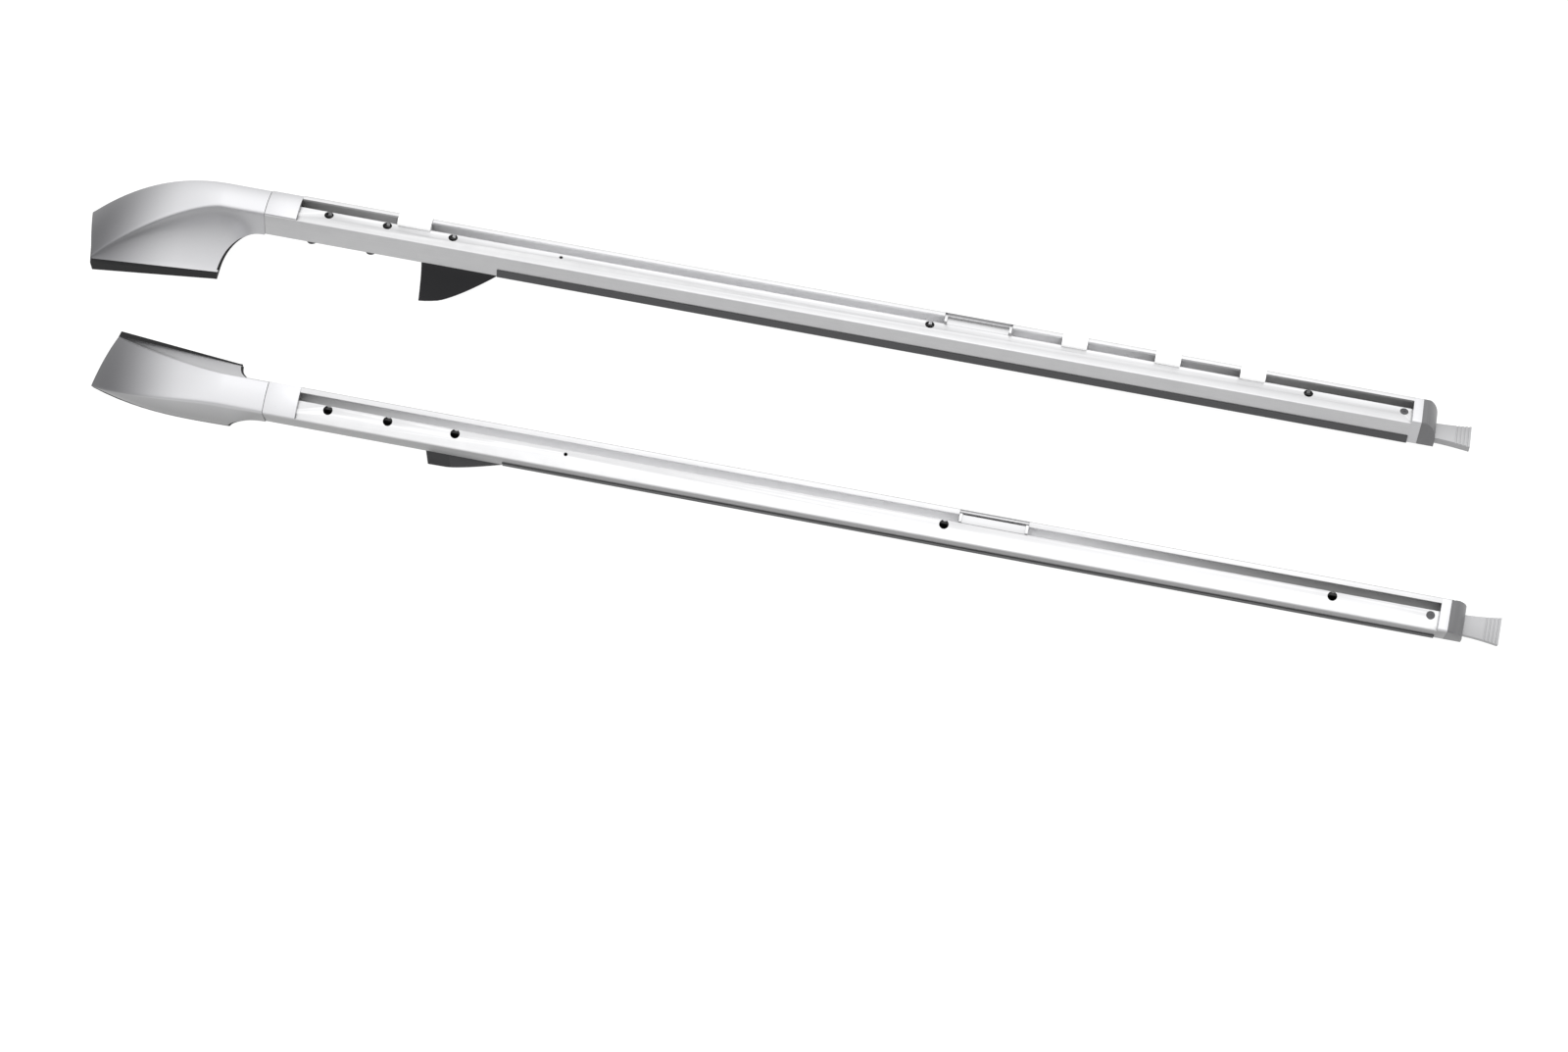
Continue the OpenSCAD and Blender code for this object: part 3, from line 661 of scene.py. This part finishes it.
class MeshTools:
    """Builds, cuts and rounds plain meshes."""

    @staticmethod
    def new_object(name: str, vertices: list[Point3], faces: list[tuple[int, ...]]) -> bpy.types.Object:
        """Makes an object from vertices and faces.

        Args:
            name: Name of the object.
            vertices: Places of the vertices in metres.
            faces: Vertex numbers of each face.

        Returns:
            The linked object.
        """
        mesh = bpy.data.meshes.new(name)
        mesh.from_pydata(vertices, [], faces)
        mesh.validate()
        built = bmesh.new()
        built.from_mesh(mesh)
        bmesh.ops.recalc_face_normals(built, faces=built.faces)
        built.to_mesh(mesh)
        built.free()
        return link_object(name, mesh)

    @staticmethod
    def loft(name: str, rings: list[list[Point3]]) -> bpy.types.Object:
        """Makes a closed solid through rings of equal length.

        Args:
            name: Name of the object.
            rings: Points of each ring in metres.

        Returns:
            The linked object.
        """
        n = len(rings[0])
        vertices = [p for ring in rings for p in ring]
        faces: list[tuple[int, ...]] = []
        for k in range(len(rings) - 1):
            for i in range(n):
                j = (i + 1) % n
                faces.append((k * n + i, k * n + j, (k + 1) * n + j, (k + 1) * n + i))
        faces.append(tuple(range(n)))
        faces.append(tuple(range((len(rings) - 1) * n, len(rings) * n)))
        return MeshTools.new_object(name, vertices, faces)

    @staticmethod
    def bake(piece: bpy.types.Object) -> None:
        """Turns an object's modifiers into its plain mesh.

        Args:
            piece: The object.
        """
        graph = bpy.context.evaluated_depsgraph_get()
        baked = bpy.data.meshes.new_from_object(piece.evaluated_get(graph))
        piece.modifiers.clear()
        piece.data = baked

    @staticmethod
    def cut(piece: bpy.types.Object, tool: bpy.types.Object, operation: str) -> None:
        """Applies a boolean with another solid, which is then removed.

        Args:
            piece: The object that is changed.
            tool: The other solid.
            operation: DIFFERENCE, INTERSECT or UNION.
        """
        step = piece.modifiers.new("cut", "BOOLEAN")
        step.operation = operation
        step.object = tool
        step.solver = "EXACT"
        MeshTools.bake(piece)
        bpy.data.objects.remove(tool)

    @staticmethod
    def soften(piece: bpy.types.Object, width_mm: float, sharp_deg: float = 30.0) -> None:
        """Rounds the sharp edges of a solid and shades it smooth.

        Args:
            piece: The object.
            width_mm: Width of the rounding.
            sharp_deg: Edges that turn by more than this are rounded.
        """
        step = piece.modifiers.new("soften", "BEVEL")
        step.width = width_mm * MM
        step.segments = 2
        step.limit_method = "ANGLE"
        step.angle_limit = math.radians(sharp_deg)
        step.use_clamp_overlap = True
        MeshTools.bake(piece)
        MeshTools.smooth_shade(piece, sharp_deg)

    @staticmethod
    def smooth_shade(piece: bpy.types.Object, sharp_deg: float) -> None:
        """Shades a mesh smooth apart from its sharp edges.

        Args:
            piece: The object.
            sharp_deg: Edges that turn by more than this stay sharp.
        """
        piece.data.shade_smooth()
        piece.data.set_sharp_from_angle(angle=math.radians(sharp_deg))

    @staticmethod
    def merged_copy(node: bpy.types.Object, name: str) -> bpy.types.Object:
        """Copies a CAD node with its shared vertices merged and its flat faces joined.

        Args:
            node: The CAD node's object, which stays as it is.
            name: Name of the copy.

        Returns:
            The copy.
        """
        built = bmesh.new()
        built.from_mesh(node.data)
        bmesh.ops.remove_doubles(built, verts=built.verts, dist=0.002 * MM)
        bmesh.ops.dissolve_limit(
            built, angle_limit=math.radians(0.4), verts=built.verts, edges=built.edges, delimit=set()
        )
        mesh = bpy.data.meshes.new(name)
        built.to_mesh(mesh)
        built.free()
        for layer in ("custom_normal", "sharp_edge", "sharp_face"):
            found = mesh.attributes.get(layer)
            if found is not None:
                mesh.attributes.remove(found)
        return link_object(name, mesh)


class Repeats:
    """Geometry Nodes groups for what follows a path."""

    path_points = 90
    round_points = 14

    def __init__(self) -> None:
        """Builds the group once."""
        self.bead, self.marks = self._bead_group()

    def _bead_group(self) -> tuple[bpy.types.NodeTree, dict[str, str]]:
        """Makes the group that turns a path into a round bead.

        Returns:
            The group and the identifiers of its inputs.
        """
        group = bpy.data.node_groups.new("bead_along_path", "GeometryNodeTree")
        marks = {}
        for key, kind in (
            ("Geometry", "Geometry"),
            ("Radius", "Float"),
            ("End Share", "Float"),
            ("Material", "Material"),
        ):
            socket = group.interface.new_socket(name=key, in_out="INPUT", socket_type="NodeSocket" + kind)
            marks[key] = socket.identifier
        group.interface.new_socket(name="Geometry", in_out="OUTPUT", socket_type="NodeSocketGeometry")
        nb = NodeBuilder(group)
        given = nb.add("NodeGroupInput").outputs
        share = nb.blend(nb.add("GeometryNodeSplineParameter").outputs["Factor"], 1.0, given["End Share"], "FLOAT")
        path = nb.add("GeometryNodeResampleCurve", Curve=given["Geometry"], Count=self.path_points)
        swell = nb.add("GeometryNodeSetCurveRadius", Curve=path.outputs["Curve"], Radius=share)
        circle = nb.add("GeometryNodeCurvePrimitiveCircle", Resolution=self.round_points, Radius=given["Radius"])
        bead = nb.add(
            "GeometryNodeCurveToMesh",
            Curve=swell.outputs["Curve"],
            Profile_Curve=circle.outputs["Curve"],
            Scale=share,
            Fill_Caps=True,
        )
        shade = nb.add("GeometryNodeSetShadeSmooth", Geometry=bead.outputs["Mesh"])
        real = nb.add("GeometryNodeRealizeInstances", Geometry=shade.outputs["Geometry"])
        paint = nb.add("GeometryNodeSetMaterial", Geometry=real.outputs["Geometry"], Material=given["Material"])
        nb.add("NodeGroupOutput", Geometry=paint.outputs["Geometry"])
        return group, marks

    def tube(
        self, name: str, path: list[Point3], radius: float, end_share: float, material: bpy.types.Material
    ) -> bpy.types.Object:
        """Makes a round bead along a path.

        Args:
            name: Name of the piece.
            path: Points in metres.
            radius: Radius in metres at the start.
            end_share: Share of the radius that is left at the end.
            material: Material of the bead.

        Returns:
            The bead as a plain mesh.
        """
        curve = bpy.data.curves.new(name + "_path", "CURVE")
        curve.dimensions = "3D"
        line = curve.splines.new("POLY")
        line.points.add(len(path) - 1)
        for point, place in zip(line.points, path):
            point.co = (*place, 1.0)
        guide = link_object(name + "_path", curve)
        step = guide.modifiers.new("bead", "NODES")
        step.node_group = self.bead
        for key, value in (("Radius", radius), ("End Share", end_share), ("Material", material)):
            step[self.marks[key]] = value
        graph = bpy.context.evaluated_depsgraph_get()
        mesh = bpy.data.meshes.new_from_object(guide.evaluated_get(graph))
        bpy.data.objects.remove(guide)
        return link_object(name, mesh)


@dataclass
class Wardrobe:
    """Makes each finish once and puts it on pieces and nodes."""

    effects: SharedEffects
    repeats: Repeats
    frame: dict
    made: dict[str, bpy.types.Material] = field(default_factory=dict)
    replaced: set[str] = field(default_factory=set)

    def material(self, slot: str) -> bpy.types.Material:
        """Returns the material of a slot, made on its first use.

        Args:
            slot: Name of the record's material slot.

        Returns:
            The material.
        """
        if slot not in self.made:
            self.made[slot] = FINISHES[slot].build(self.effects)
        return self.made[slot]

    def slot_of(self, node: str) -> str:
        """Returns the record's material slot of a CAD node."""
        return next(e["material_slot"] for e in self.frame["record"]["subparts"] if e["node"] == node)

    def dress(self, piece: bpy.types.Object, slot: str) -> None:
        """Puts one finish on a whole piece.

        Args:
            piece: The object.
            slot: Name of the material slot.
        """
        piece.data.materials.clear()
        piece.data.materials.append(self.material(slot))

    def stand_in(self, piece: bpy.types.Object, node: str) -> None:
        """Lets a piece stand for a CAD node, with that node's finish.

        Args:
            piece: The new piece.
            node: The CAD node that it replaces.
        """
        self.add(piece, self.slot_of(node))
        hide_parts(node)
        self.replaced.add(node)
        LOG.info("%s stands for %s", piece.name, node)

    def add(self, piece: bpy.types.Object, slot: str) -> None:
        """Dresses a new piece and ties it to the body.

        Args:
            piece: The new piece.
            slot: Name of the material slot.
        """
        self.dress(piece, slot)
        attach(piece, BODY)
        LOG.info("%s added in %s", piece.name, slot)

    def soft_copy(self, node: str, width_mm: float) -> bpy.types.Object:
        """Lets a copy of a CAD node stand for it, with its sharp edges rounded.

        Args:
            node: The CAD node.
            width_mm: Width of the rounding.

        Returns:
            The copy.
        """
        piece = MeshTools.merged_copy(self.frame["nodes"][node], node + "_soft")
        MeshTools.soften(piece, width_mm)
        self.stand_in(piece, node)
        return piece

    def dress_rest(self) -> None:
        """Dresses the CAD nodes that nothing replaces."""
        for entry in self.frame["record"]["subparts"]:
            node = entry["node"]
            if node in self.replaced:
                continue
            self.dress(self.frame["nodes"][node], entry["material_slot"])
            LOG.info("dressed %s in %s", node, entry["material_slot"])


@dataclass
class FrontFoot:
    """The moulded silver cover of a bar's front foot, as a fine shell."""

    plan: BarPlan
    side: Side
    foot_len: float = 138.0
    inner_flare: float = 28.0
    outer_flare: float = 4.0
    foot_sweep: float = 10.0
    outer_drop_y: float = 28.5
    inner_drop_y: float = 54.0
    cover_wall: float = 2.6
    crown_rise: float = 3.0
    crown_edge: float = 2.2
    crown_swell: float = 0.6
    pad_t: float = 13.0
    pad_thin: float = 1.2
    pad_span: float = 2.2
    arch_len: float = 42.0
    arch_back: float = 5.0
    arch_below: float = 9.0
    keep_front: float = 40.0
    seam_start: float = 8.0
    seam_run: float = 10.0
    inner_pow: float = 1.45
    outer_pow_y: float = 2.8
    outer_pow_z: float = 1.9
    skirt_pow: float = 2.3
    outer_bulge: float = 0.8
    cover_front_t: float = 2.5
    inner_front_x: float = 14.0
    under_foot: float = 6.0
    inset_down: float = 1.05
    inset_crease: float = 1.1
    inset_base: float = 1.25
    trim_r: float = 1.7
    trim_end: float = 0.4
    trim_inset: float = 1.2
    stations: int = 92
    skirt_steps: int = 14
    crown_steps: int = 16
    crease_steps: int = 5
    crease_r: float = 2.6
    most_cut: float = 0.45
    most_top_cut: float = 0.2

    def pad_h(self, y: float) -> float:
        """Returns the height of the pad's sloping top at a level offset."""
        slope = (self.pad_t - self.pad_thin) / (self.pad_span * self.plan.rail_w)
        return self.pad_thin + slope * (self.plan.rail_w / 4 - y)

    def tip_t(self, x: float) -> float:
        """Returns 0 at the arch behind the foot and 1 at its tip."""
        return ramp((self.foot_len - x) / self.foot_len)

    def seam_t(self, x: float) -> float:
        """Returns 0 along the foot and 1 at the seam with the rail."""
        return smooth((x - self.foot_len - self.seam_start) / (self.plan.seam_x - self.foot_len - self.seam_run))

    def crease(self, x: float, inner: bool) -> Point2:
        """Returns the crease between crown and skirt.

        Args:
            x: Station along the bar.
            inner: True for the inner side.

        Returns:
            Its level offset and height.
        """
        plan, t = self.plan, self.tip_t(x)
        v = -plan.half_w if inner else plan.half_w
        y0, z0 = plan.up_y(v, -self.crown_edge), plan.line_h(x) + plan.up_z(v, -self.crown_edge)
        y1 = y0 - (self.inner_drop_y if inner else self.outer_drop_y)
        z1 = self.pad_h(y1) + self.cover_front_t
        if inner:
            return mix(y0, y1, t**self.inner_pow), mix(z0, z1, t**self.inner_pow)
        return mix(y0, y1, t**self.outer_pow_y), mix(z0, z1, t**self.outer_pow_z)

    def base(self, x: float, inner: bool) -> Point2:
        """Returns the lower end of a skirt, on top of the pad.

        Args:
            x: Station along the bar.
            inner: True for the inner side.

        Returns:
            Its level offset and height.
        """
        plan, t, seam = self.plan, self.tip_t(x), self.seam_t(x)
        lean = math.radians(plan.lean)
        top_y, top_z = self.crease(x, inner)
        if inner:
            v, w = -plan.half_w, -self.crown_edge
            root = plan.up_y(v, w) - math.tan(lean) * (plan.line_h(self.foot_len) + plan.up_z(v, w))
            y = min(top_y - 1, mix(root - self.inner_flare - self.foot_sweep * t, root, seam))
        else:
            y = top_y - math.tan(lean) * top_z + self.outer_flare * (1 - seam) * (1 - t * t) * math.cos(lean)
        return y, self.pad_h(y)

    def skirt(self, top: Point2, base: Point2, u: float, inner: bool) -> Point2:
        """Returns a point of a skirt.

        Args:
            top: Its crease.
            base: Its lower end.
            u: 0 at the crease and 1 at the lower end.
            inner: True for the inner side.

        Returns:
            Level offset and height.
        """
        z = mix(top[1], base[1], u)
        if not inner:
            return mix(top[0], base[0], u) + 4 * self.outer_bulge * u * (1 - u), z
        down = math.tan(math.radians(self.plan.lean)) * (top[1] - base[1])
        return top[0] - down * u - (top[0] - down - base[0]) * u**self.skirt_pow, z

    def ring(self, x: float, g: float) -> list[Point2]:
        """Returns one ring of the foot from the outer base over the crown to the inner base.

        Args:
            x: Station along the bar.
            g: Inset of the ring.

        Returns:
            Level offsets and heights.
        """
        (oy, oz), (iy, iz) = self.crease(x, False), self.crease(x, True)
        outer = (oy - g, oz - g * self.inset_down)
        inner = (iy + g * self.inset_crease, iz - g * self.inset_down)
        (ob, low_out), (ib, low_in) = self.base(x, False), self.base(x, True)
        out_base, in_base = (ob - g, low_out), (ib + g * self.inset_base, low_in)
        rise = self.crown_rise * (1 + self.crown_swell * self.tip_t(x))

        def crown(u: float) -> Point2:
            return mix(outer[0], inner[0], u), mix(outer[1], inner[1], u) + 4 * rise * u * (1 - u)

        cut_out = min(self.most_cut, self.crease_r / max(outer[1] - low_out, 1.0))
        cut_in = min(self.most_cut, self.crease_r / max(inner[1] - low_in, 1.0))
        cut_top = min(self.most_top_cut, self.crease_r / max(outer[0] - inner[0], 1.0))
        down = [k / self.skirt_steps for k in range(self.skirt_steps + 1)]
        across = [k / self.crown_steps for k in range(self.crown_steps + 1)]
        out_side = [self.skirt(outer, out_base, mix(1, cut_out, t), False) for t in down]
        top = [crown(mix(cut_top, 1 - cut_top, t)) for t in across]
        in_side = [self.skirt(inner, in_base, mix(cut_in, 1, t), True) for t in down]
        points = out_side + self._rounded(out_side[-1], outer, top[0]) + top
        points += self._rounded(top[-1], inner, in_side[0]) + in_side
        if g > 0:
            feet = [(y, z - self.under_foot) for y, z in (out_base, in_base)]
            points = [feet[0], *points, feet[1]]
        return points

    def tip_shift(self, x: float, y: float) -> float:
        """Returns how far forward a point lies, because the tip slants from its outer corner."""
        ob, ib = self.base(x, False)[0], self.base(x, True)[0]
        return self.plan.tip_slant * self.tip_t(x) ** 2 * (y - ib) / (ob - ib)

    def _rounded(self, a: Point2, corner: Point2, b: Point2) -> list[Point2]:
        """Returns the points between a and b on a curve that rounds their corner.

        Args:
            a: Start of the rounding.
            corner: The corner.
            b: End of the rounding.

        Returns:
            Points between the two ends.
        """
        points = []
        for k in range(1, self.crease_steps):
            u = k / self.crease_steps
            p, q, r = (1 - u) ** 2, 2 * u * (1 - u), u * u
            points.append((p * a[0] + q * corner[0] + r * b[0], p * a[1] + q * corner[1] + r * b[1]))
        return points

    def body(self, name: str, g: float) -> bpy.types.Object:
        """Makes the foot's solid, inset by g.

        Args:
            name: Name of the object.
            g: Inset in millimetres.

        Returns:
            The solid.
        """
        x0 = self.inner_front_x if g > 0 else 0.0
        x1 = self.plan.seam_x + (2 if g > 0 else 1)
        rings = []
        for k in range(self.stations + 1):
            x = mix(x0, x1, k / self.stations)
            points = [(x - self.tip_shift(x, y), y, z) for y, z in self.ring(x, g)]
            rings.append([self.plan.place(self.side, point) for point in points])
        return MeshTools.loft(name, rings)

    def arch_edge(self, g: float, steps: int = 40) -> list[Point2]:
        """Returns the arch behind the foot, as station and height in the leaning frame."""
        plan = self.plan
        top_x, arch_h = plan.seam_x - self.arch_back, plan.axis_h - plan.rail_h + self.arch_below
        return [
            (
                top_x - (self.arch_len + g) * math.cos(math.pi / 2 * k / steps),
                -plan.rail_h - arch_h + (arch_h + g) * math.sin(math.pi / 2 * k / steps),
            )
            for k in range(steps + 1)
        ]

    def arch_keep(self, name: str, g: float) -> bpy.types.Object:
        """Makes the space in front of and above the arch.

        Args:
            name: Name of the object.
            g: How far its edge moves into the foot.

        Returns:
            The solid.
        """
        plan = self.plan
        deep, wide = 4 * plan.rail_w, 2 * plan.rail_w
        end_x = plan.seam_x + 5 if g > 0 else plan.seam_x - 0.15
        front_x, low_x = -self.keep_front, plan.seam_x - self.arch_back - self.arch_len - g
        outline = [(front_x, plan.rail_w), (front_x, -deep), (low_x, -deep)]
        outline += self.arch_edge(g)
        outline += [(end_x, -plan.rail_h + g), (end_x, plan.rail_w)]
        rings = [
            [plan.place(self.side, plan.leaned((x, v, w))) for x, w in outline] for v in (-wide, wide)
        ]
        return MeshTools.loft(name, rings)

    def skirt_y(self, x: float, z: float, inner: bool) -> float:
        """Returns the level offset of a skirt's outside at a height.

        Args:
            x: Station along the bar.
            z: Height over the ground.
            inner: True for the inner skirt.

        Returns:
            The level offset.
        """
        top, base = self.crease(x, inner), self.base(x, inner)
        return self.skirt(top, base, ramp((top[1] - z) / (top[1] - base[1])), inner)[0]

    def trim_path(self, inner: bool) -> list[Point3]:
        """Returns the edge of the arch on one skirt, from the pad up to the seam.

        Args:
            inner: True for the inner skirt.

        Returns:
            Points in metres.
        """
        plan, path = self.plan, []
        inward = 1.0 if inner else -1.0
        for x, w in self.arch_edge(0.0, 60) + [(plan.seam_x - 2.0, -plan.rail_h)]:
            v = -plan.half_w if inner else plan.half_w
            for _ in range(12):
                px, py, pz = plan.leaned((x, v, w))
                v += (self.skirt_y(px, pz, inner) - py) * 0.8
            px, py, pz = plan.leaned((x, v, w))
            if pz > self.pad_h(py) + 0.5:
                path.append(plan.place(self.side, (px, py + inward * self.trim_inset, pz)))
        return path

    def build(self, wardrobe: Wardrobe) -> None:
        """Makes the shell and lets it stand for the CAD cover.

        Args:
            wardrobe: The finishes.
        """
        prefix = self.side.prefix
        shell = self.body(prefix + "foot_shell", 0.0)
        MeshTools.cut(shell, self.arch_keep("arch", 0.0), "INTERSECT")
        core = self.body("core", self.cover_wall)
        MeshTools.cut(core, self.arch_keep("arch", self.cover_wall), "INTERSECT")
        MeshTools.cut(shell, core, "DIFFERENCE")
        MeshTools.smooth_shade(shell, 38.0)
        wardrobe.stand_in(shell, prefix + "front_foot_cover")
        for inner in (True, False):
            name = prefix + ("inner_arch_trim" if inner else "outer_arch_trim")
            bead = wardrobe.repeats.tube(
                name, self.trim_path(inner), self.trim_r * MM, self.trim_end, wardrobe.material("rubber")
            )
            wardrobe.add(bead, "rubber")


@dataclass
class MiddleFoot:
    """The black fin that holds a bar a quarter of the way along."""

    plan: BarPlan
    side: Side
    mid_x: float = 356.0
    mid_len: float = 82.0
    mid_flare: float = 18.0
    mid_gap: float = 0.1
    mid_pad_t: float = 2.4
    flare_pow: float = 1.4
    depth_pow: float = 1.3
    side_pow: float = 1.7
    side_line: float = 0.35
    edge_r: float = 2.5
    edge_end_r: float = 0.3
    screw_xs: tuple[float, float] = (370.0, 398.0)
    head_r: float = 4.9
    head_w: float = 44.2
    stations: int = 44
    steps: int = 18

    def ring(self, x: float) -> list[Point2]:
        """Returns one ring of the fin.

        Args:
            x: Station along the bar.

        Returns:
            Level offsets and heights.
        """
        plan = self.plan
        wide = 1 - ramp((x - self.mid_x) / self.mid_len) ** self.flare_pow
        deep = 1 - ramp((x - self.mid_x - self.mid_len / 4) / (self.mid_len * 3 / 4)) ** self.depth_pow
        v, under = plan.half_w - 1, -plan.rail_h - self.mid_gap
        oy, oz = plan.up_y(v, under), plan.line_h(x) + plan.up_z(v, under)
        iy, iz = plan.up_y(-v, under), plan.line_h(x) + plan.up_z(-v, under)
        out_y, out_z = mix(oy, oy + 1, wide), mix(oz - plan.strip_t, 0, deep)
        in_y = mix(iy, iy - math.tan(math.radians(plan.lean)) * iz - self.mid_flare, wide)
        in_z = mix(iz - plan.strip_t, 0, deep)
        soft = self.edge_r * wide + self.edge_end_r
        points = [(out_y - soft, out_z), (out_y - 0.3 * soft, out_z + 0.15 * soft), (out_y, out_z + 0.6 * soft)]
        points += [(oy, oz), (iy, iz)]
        for k in range(1, self.steps + 1):
            u = k / self.steps
            bow = mix(u**self.side_pow, u, self.side_line)
            points.append((mix(iy, in_y, bow), mix(iz, in_z + 0.6 * soft, u)))
        return points + [(in_y + 0.3 * soft, in_z + 0.15 * soft), (in_y + soft, in_z)]

    def build(self, wardrobe: Wardrobe) -> None:
        """Makes the fin and lets it stand for the CAD node.

        Args:
            wardrobe: The finishes.
        """
        plan, side = self.plan, self.side
        rings = []
        for k in range(self.stations + 1):
            x = mix(self.mid_x, self.mid_x + self.mid_len, k / self.stations)
            rings.append([plan.place(side, (x, y, z)) for y, z in self.ring(x)])
        fin = MeshTools.loft(side.prefix + "fin", rings)
        MeshTools.cut(fin, self._ground(), "DIFFERENCE")
        for x in self.screw_xs:
            MeshTools.cut(fin, self._recess(x), "DIFFERENCE")
        MeshTools.smooth_shade(fin, 40.0)
        wardrobe.stand_in(fin, side.prefix + "middle_foot")

    def _ground(self) -> bpy.types.Object:
        """Makes the space of the pad below the fin."""
        rings = []
        for x in (self.mid_x - 5, self.mid_x + self.mid_len + 5):
            corners = ((-120.0, -5.0), (80.0, -5.0), (80.0, self.mid_pad_t), (-120.0, self.mid_pad_t))
            rings.append([self.plan.place(self.side, (x, y, z)) for y, z in corners])
        return MeshTools.loft("ground", rings)

    def _recess(self, x: float) -> bpy.types.Object:
        """Makes the recess of one screw's head."""
        rings = []
        for w in (-self.head_w - 70, -self.head_w):
            turn = [2 * math.pi * k / 40 for k in range(40)]
            circle = [(x + self.head_r * math.cos(q), self.head_r * math.sin(q), w) for q in turn]
            rings.append([self.plan.place(self.side, self.plan.leaned(point)) for point in circle])
        return MeshTools.loft("recess", rings)


@dataclass
class Rail:
    """The drawn rail, with painted light in its slot and painted shade inside it."""

    plan: BarPlan
    side: Side
    edge_mm: float = 0.35
    rim: float = 0.1
    hole_top: float = 0.5
    hole_under: float = 1.0
    ridge_face: float = 1.0

    def build(self, wardrobe: Wardrobe) -> None:
        """Copies and rounds the rail, paints light into its slot and paints shade into its hollow.

        Args:
            wardrobe: The finishes.
        """
        piece = wardrobe.soft_copy(self.side.prefix + "rail", self.edge_mm)
        # Painted light for the slot's faces, painted shade for the hollow and the holes.
        for slot in ("slot_painted_light", "hollow_painted_shade"):
            piece.data.materials.append(wardrobe.material(slot))
        for face in piece.data.polygons:
            face.material_index = self._finish_number(face.center)

    def _finish_number(self, place: Vector) -> int:
        """Returns 0 for a face on the outside, 1 for the painted light in the slot and 2 for the painted shade in the
        hollow or a hole.
        """
        plan, rim = self.plan, self.rim
        x, v, w = plan.section_point(self.side, place)
        slot_in = plan.half_w - plan.ridge_w - plan.slot_w
        under = -plan.ledge_drop - plan.ledge_web
        hole_v = slot_in - plan.hole_inset
        near_hole = any(
            math.hypot(x - plan.seam_x - plan.cap_len - step, v - hole_v) < plan.hole_r + rim
            for step in plan.hole_steps
        )
        if near_hole and under - self.hole_under < w < -plan.ledge_drop - self.hole_top:
            return 2
        inner = plan.half_w - plan.rail_wall + rim
        if -plan.rail_h + plan.rail_wall - rim < w < under + rim and abs(v) < inner:
            if v < slot_in - plan.slot_wall + rim or w < -plan.slot_depth - plan.slot_wall + rim:
                return 2
        if slot_in - rim < v < inner and -plan.slot_depth - rim < w < -self.ridge_face:
            return 1
        return 0


@dataclass
class SoftEdged:
    """CAD nodes whose copies get their sharp edges rounded."""

    side: Side
    widths: dict[str, float]

    def build(self, wardrobe: Wardrobe) -> None:
        """Copies and rounds each node.

        Args:
            wardrobe: The finishes.
        """
        for kind, width in self.widths.items():
            node = self.side.prefix + kind
            if node in wardrobe.frame["nodes"]:
                wardrobe.soft_copy(node, width)


def main() -> None:
    """Builds the looks."""
    logging.basicConfig(level=logging.INFO, format="%(name)s: %(message)s")
    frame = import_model()
    bpy.context.scene.view_settings.view_transform = "Standard"
    Studio().build()
    wardrobe = Wardrobe(SharedEffects(), Repeats(), frame)
    plan = BarPlan()
    for side in Side:
        FrontFoot(plan, side).build(wardrobe)
        MiddleFoot(plan, side).build(wardrobe)
        Rail(plan, side).build(wardrobe)
        SoftEdged(side, EDGE_WIDTHS).build(wardrobe)
    wardrobe.dress_rest()


if __name__ == "__main__":
    main()
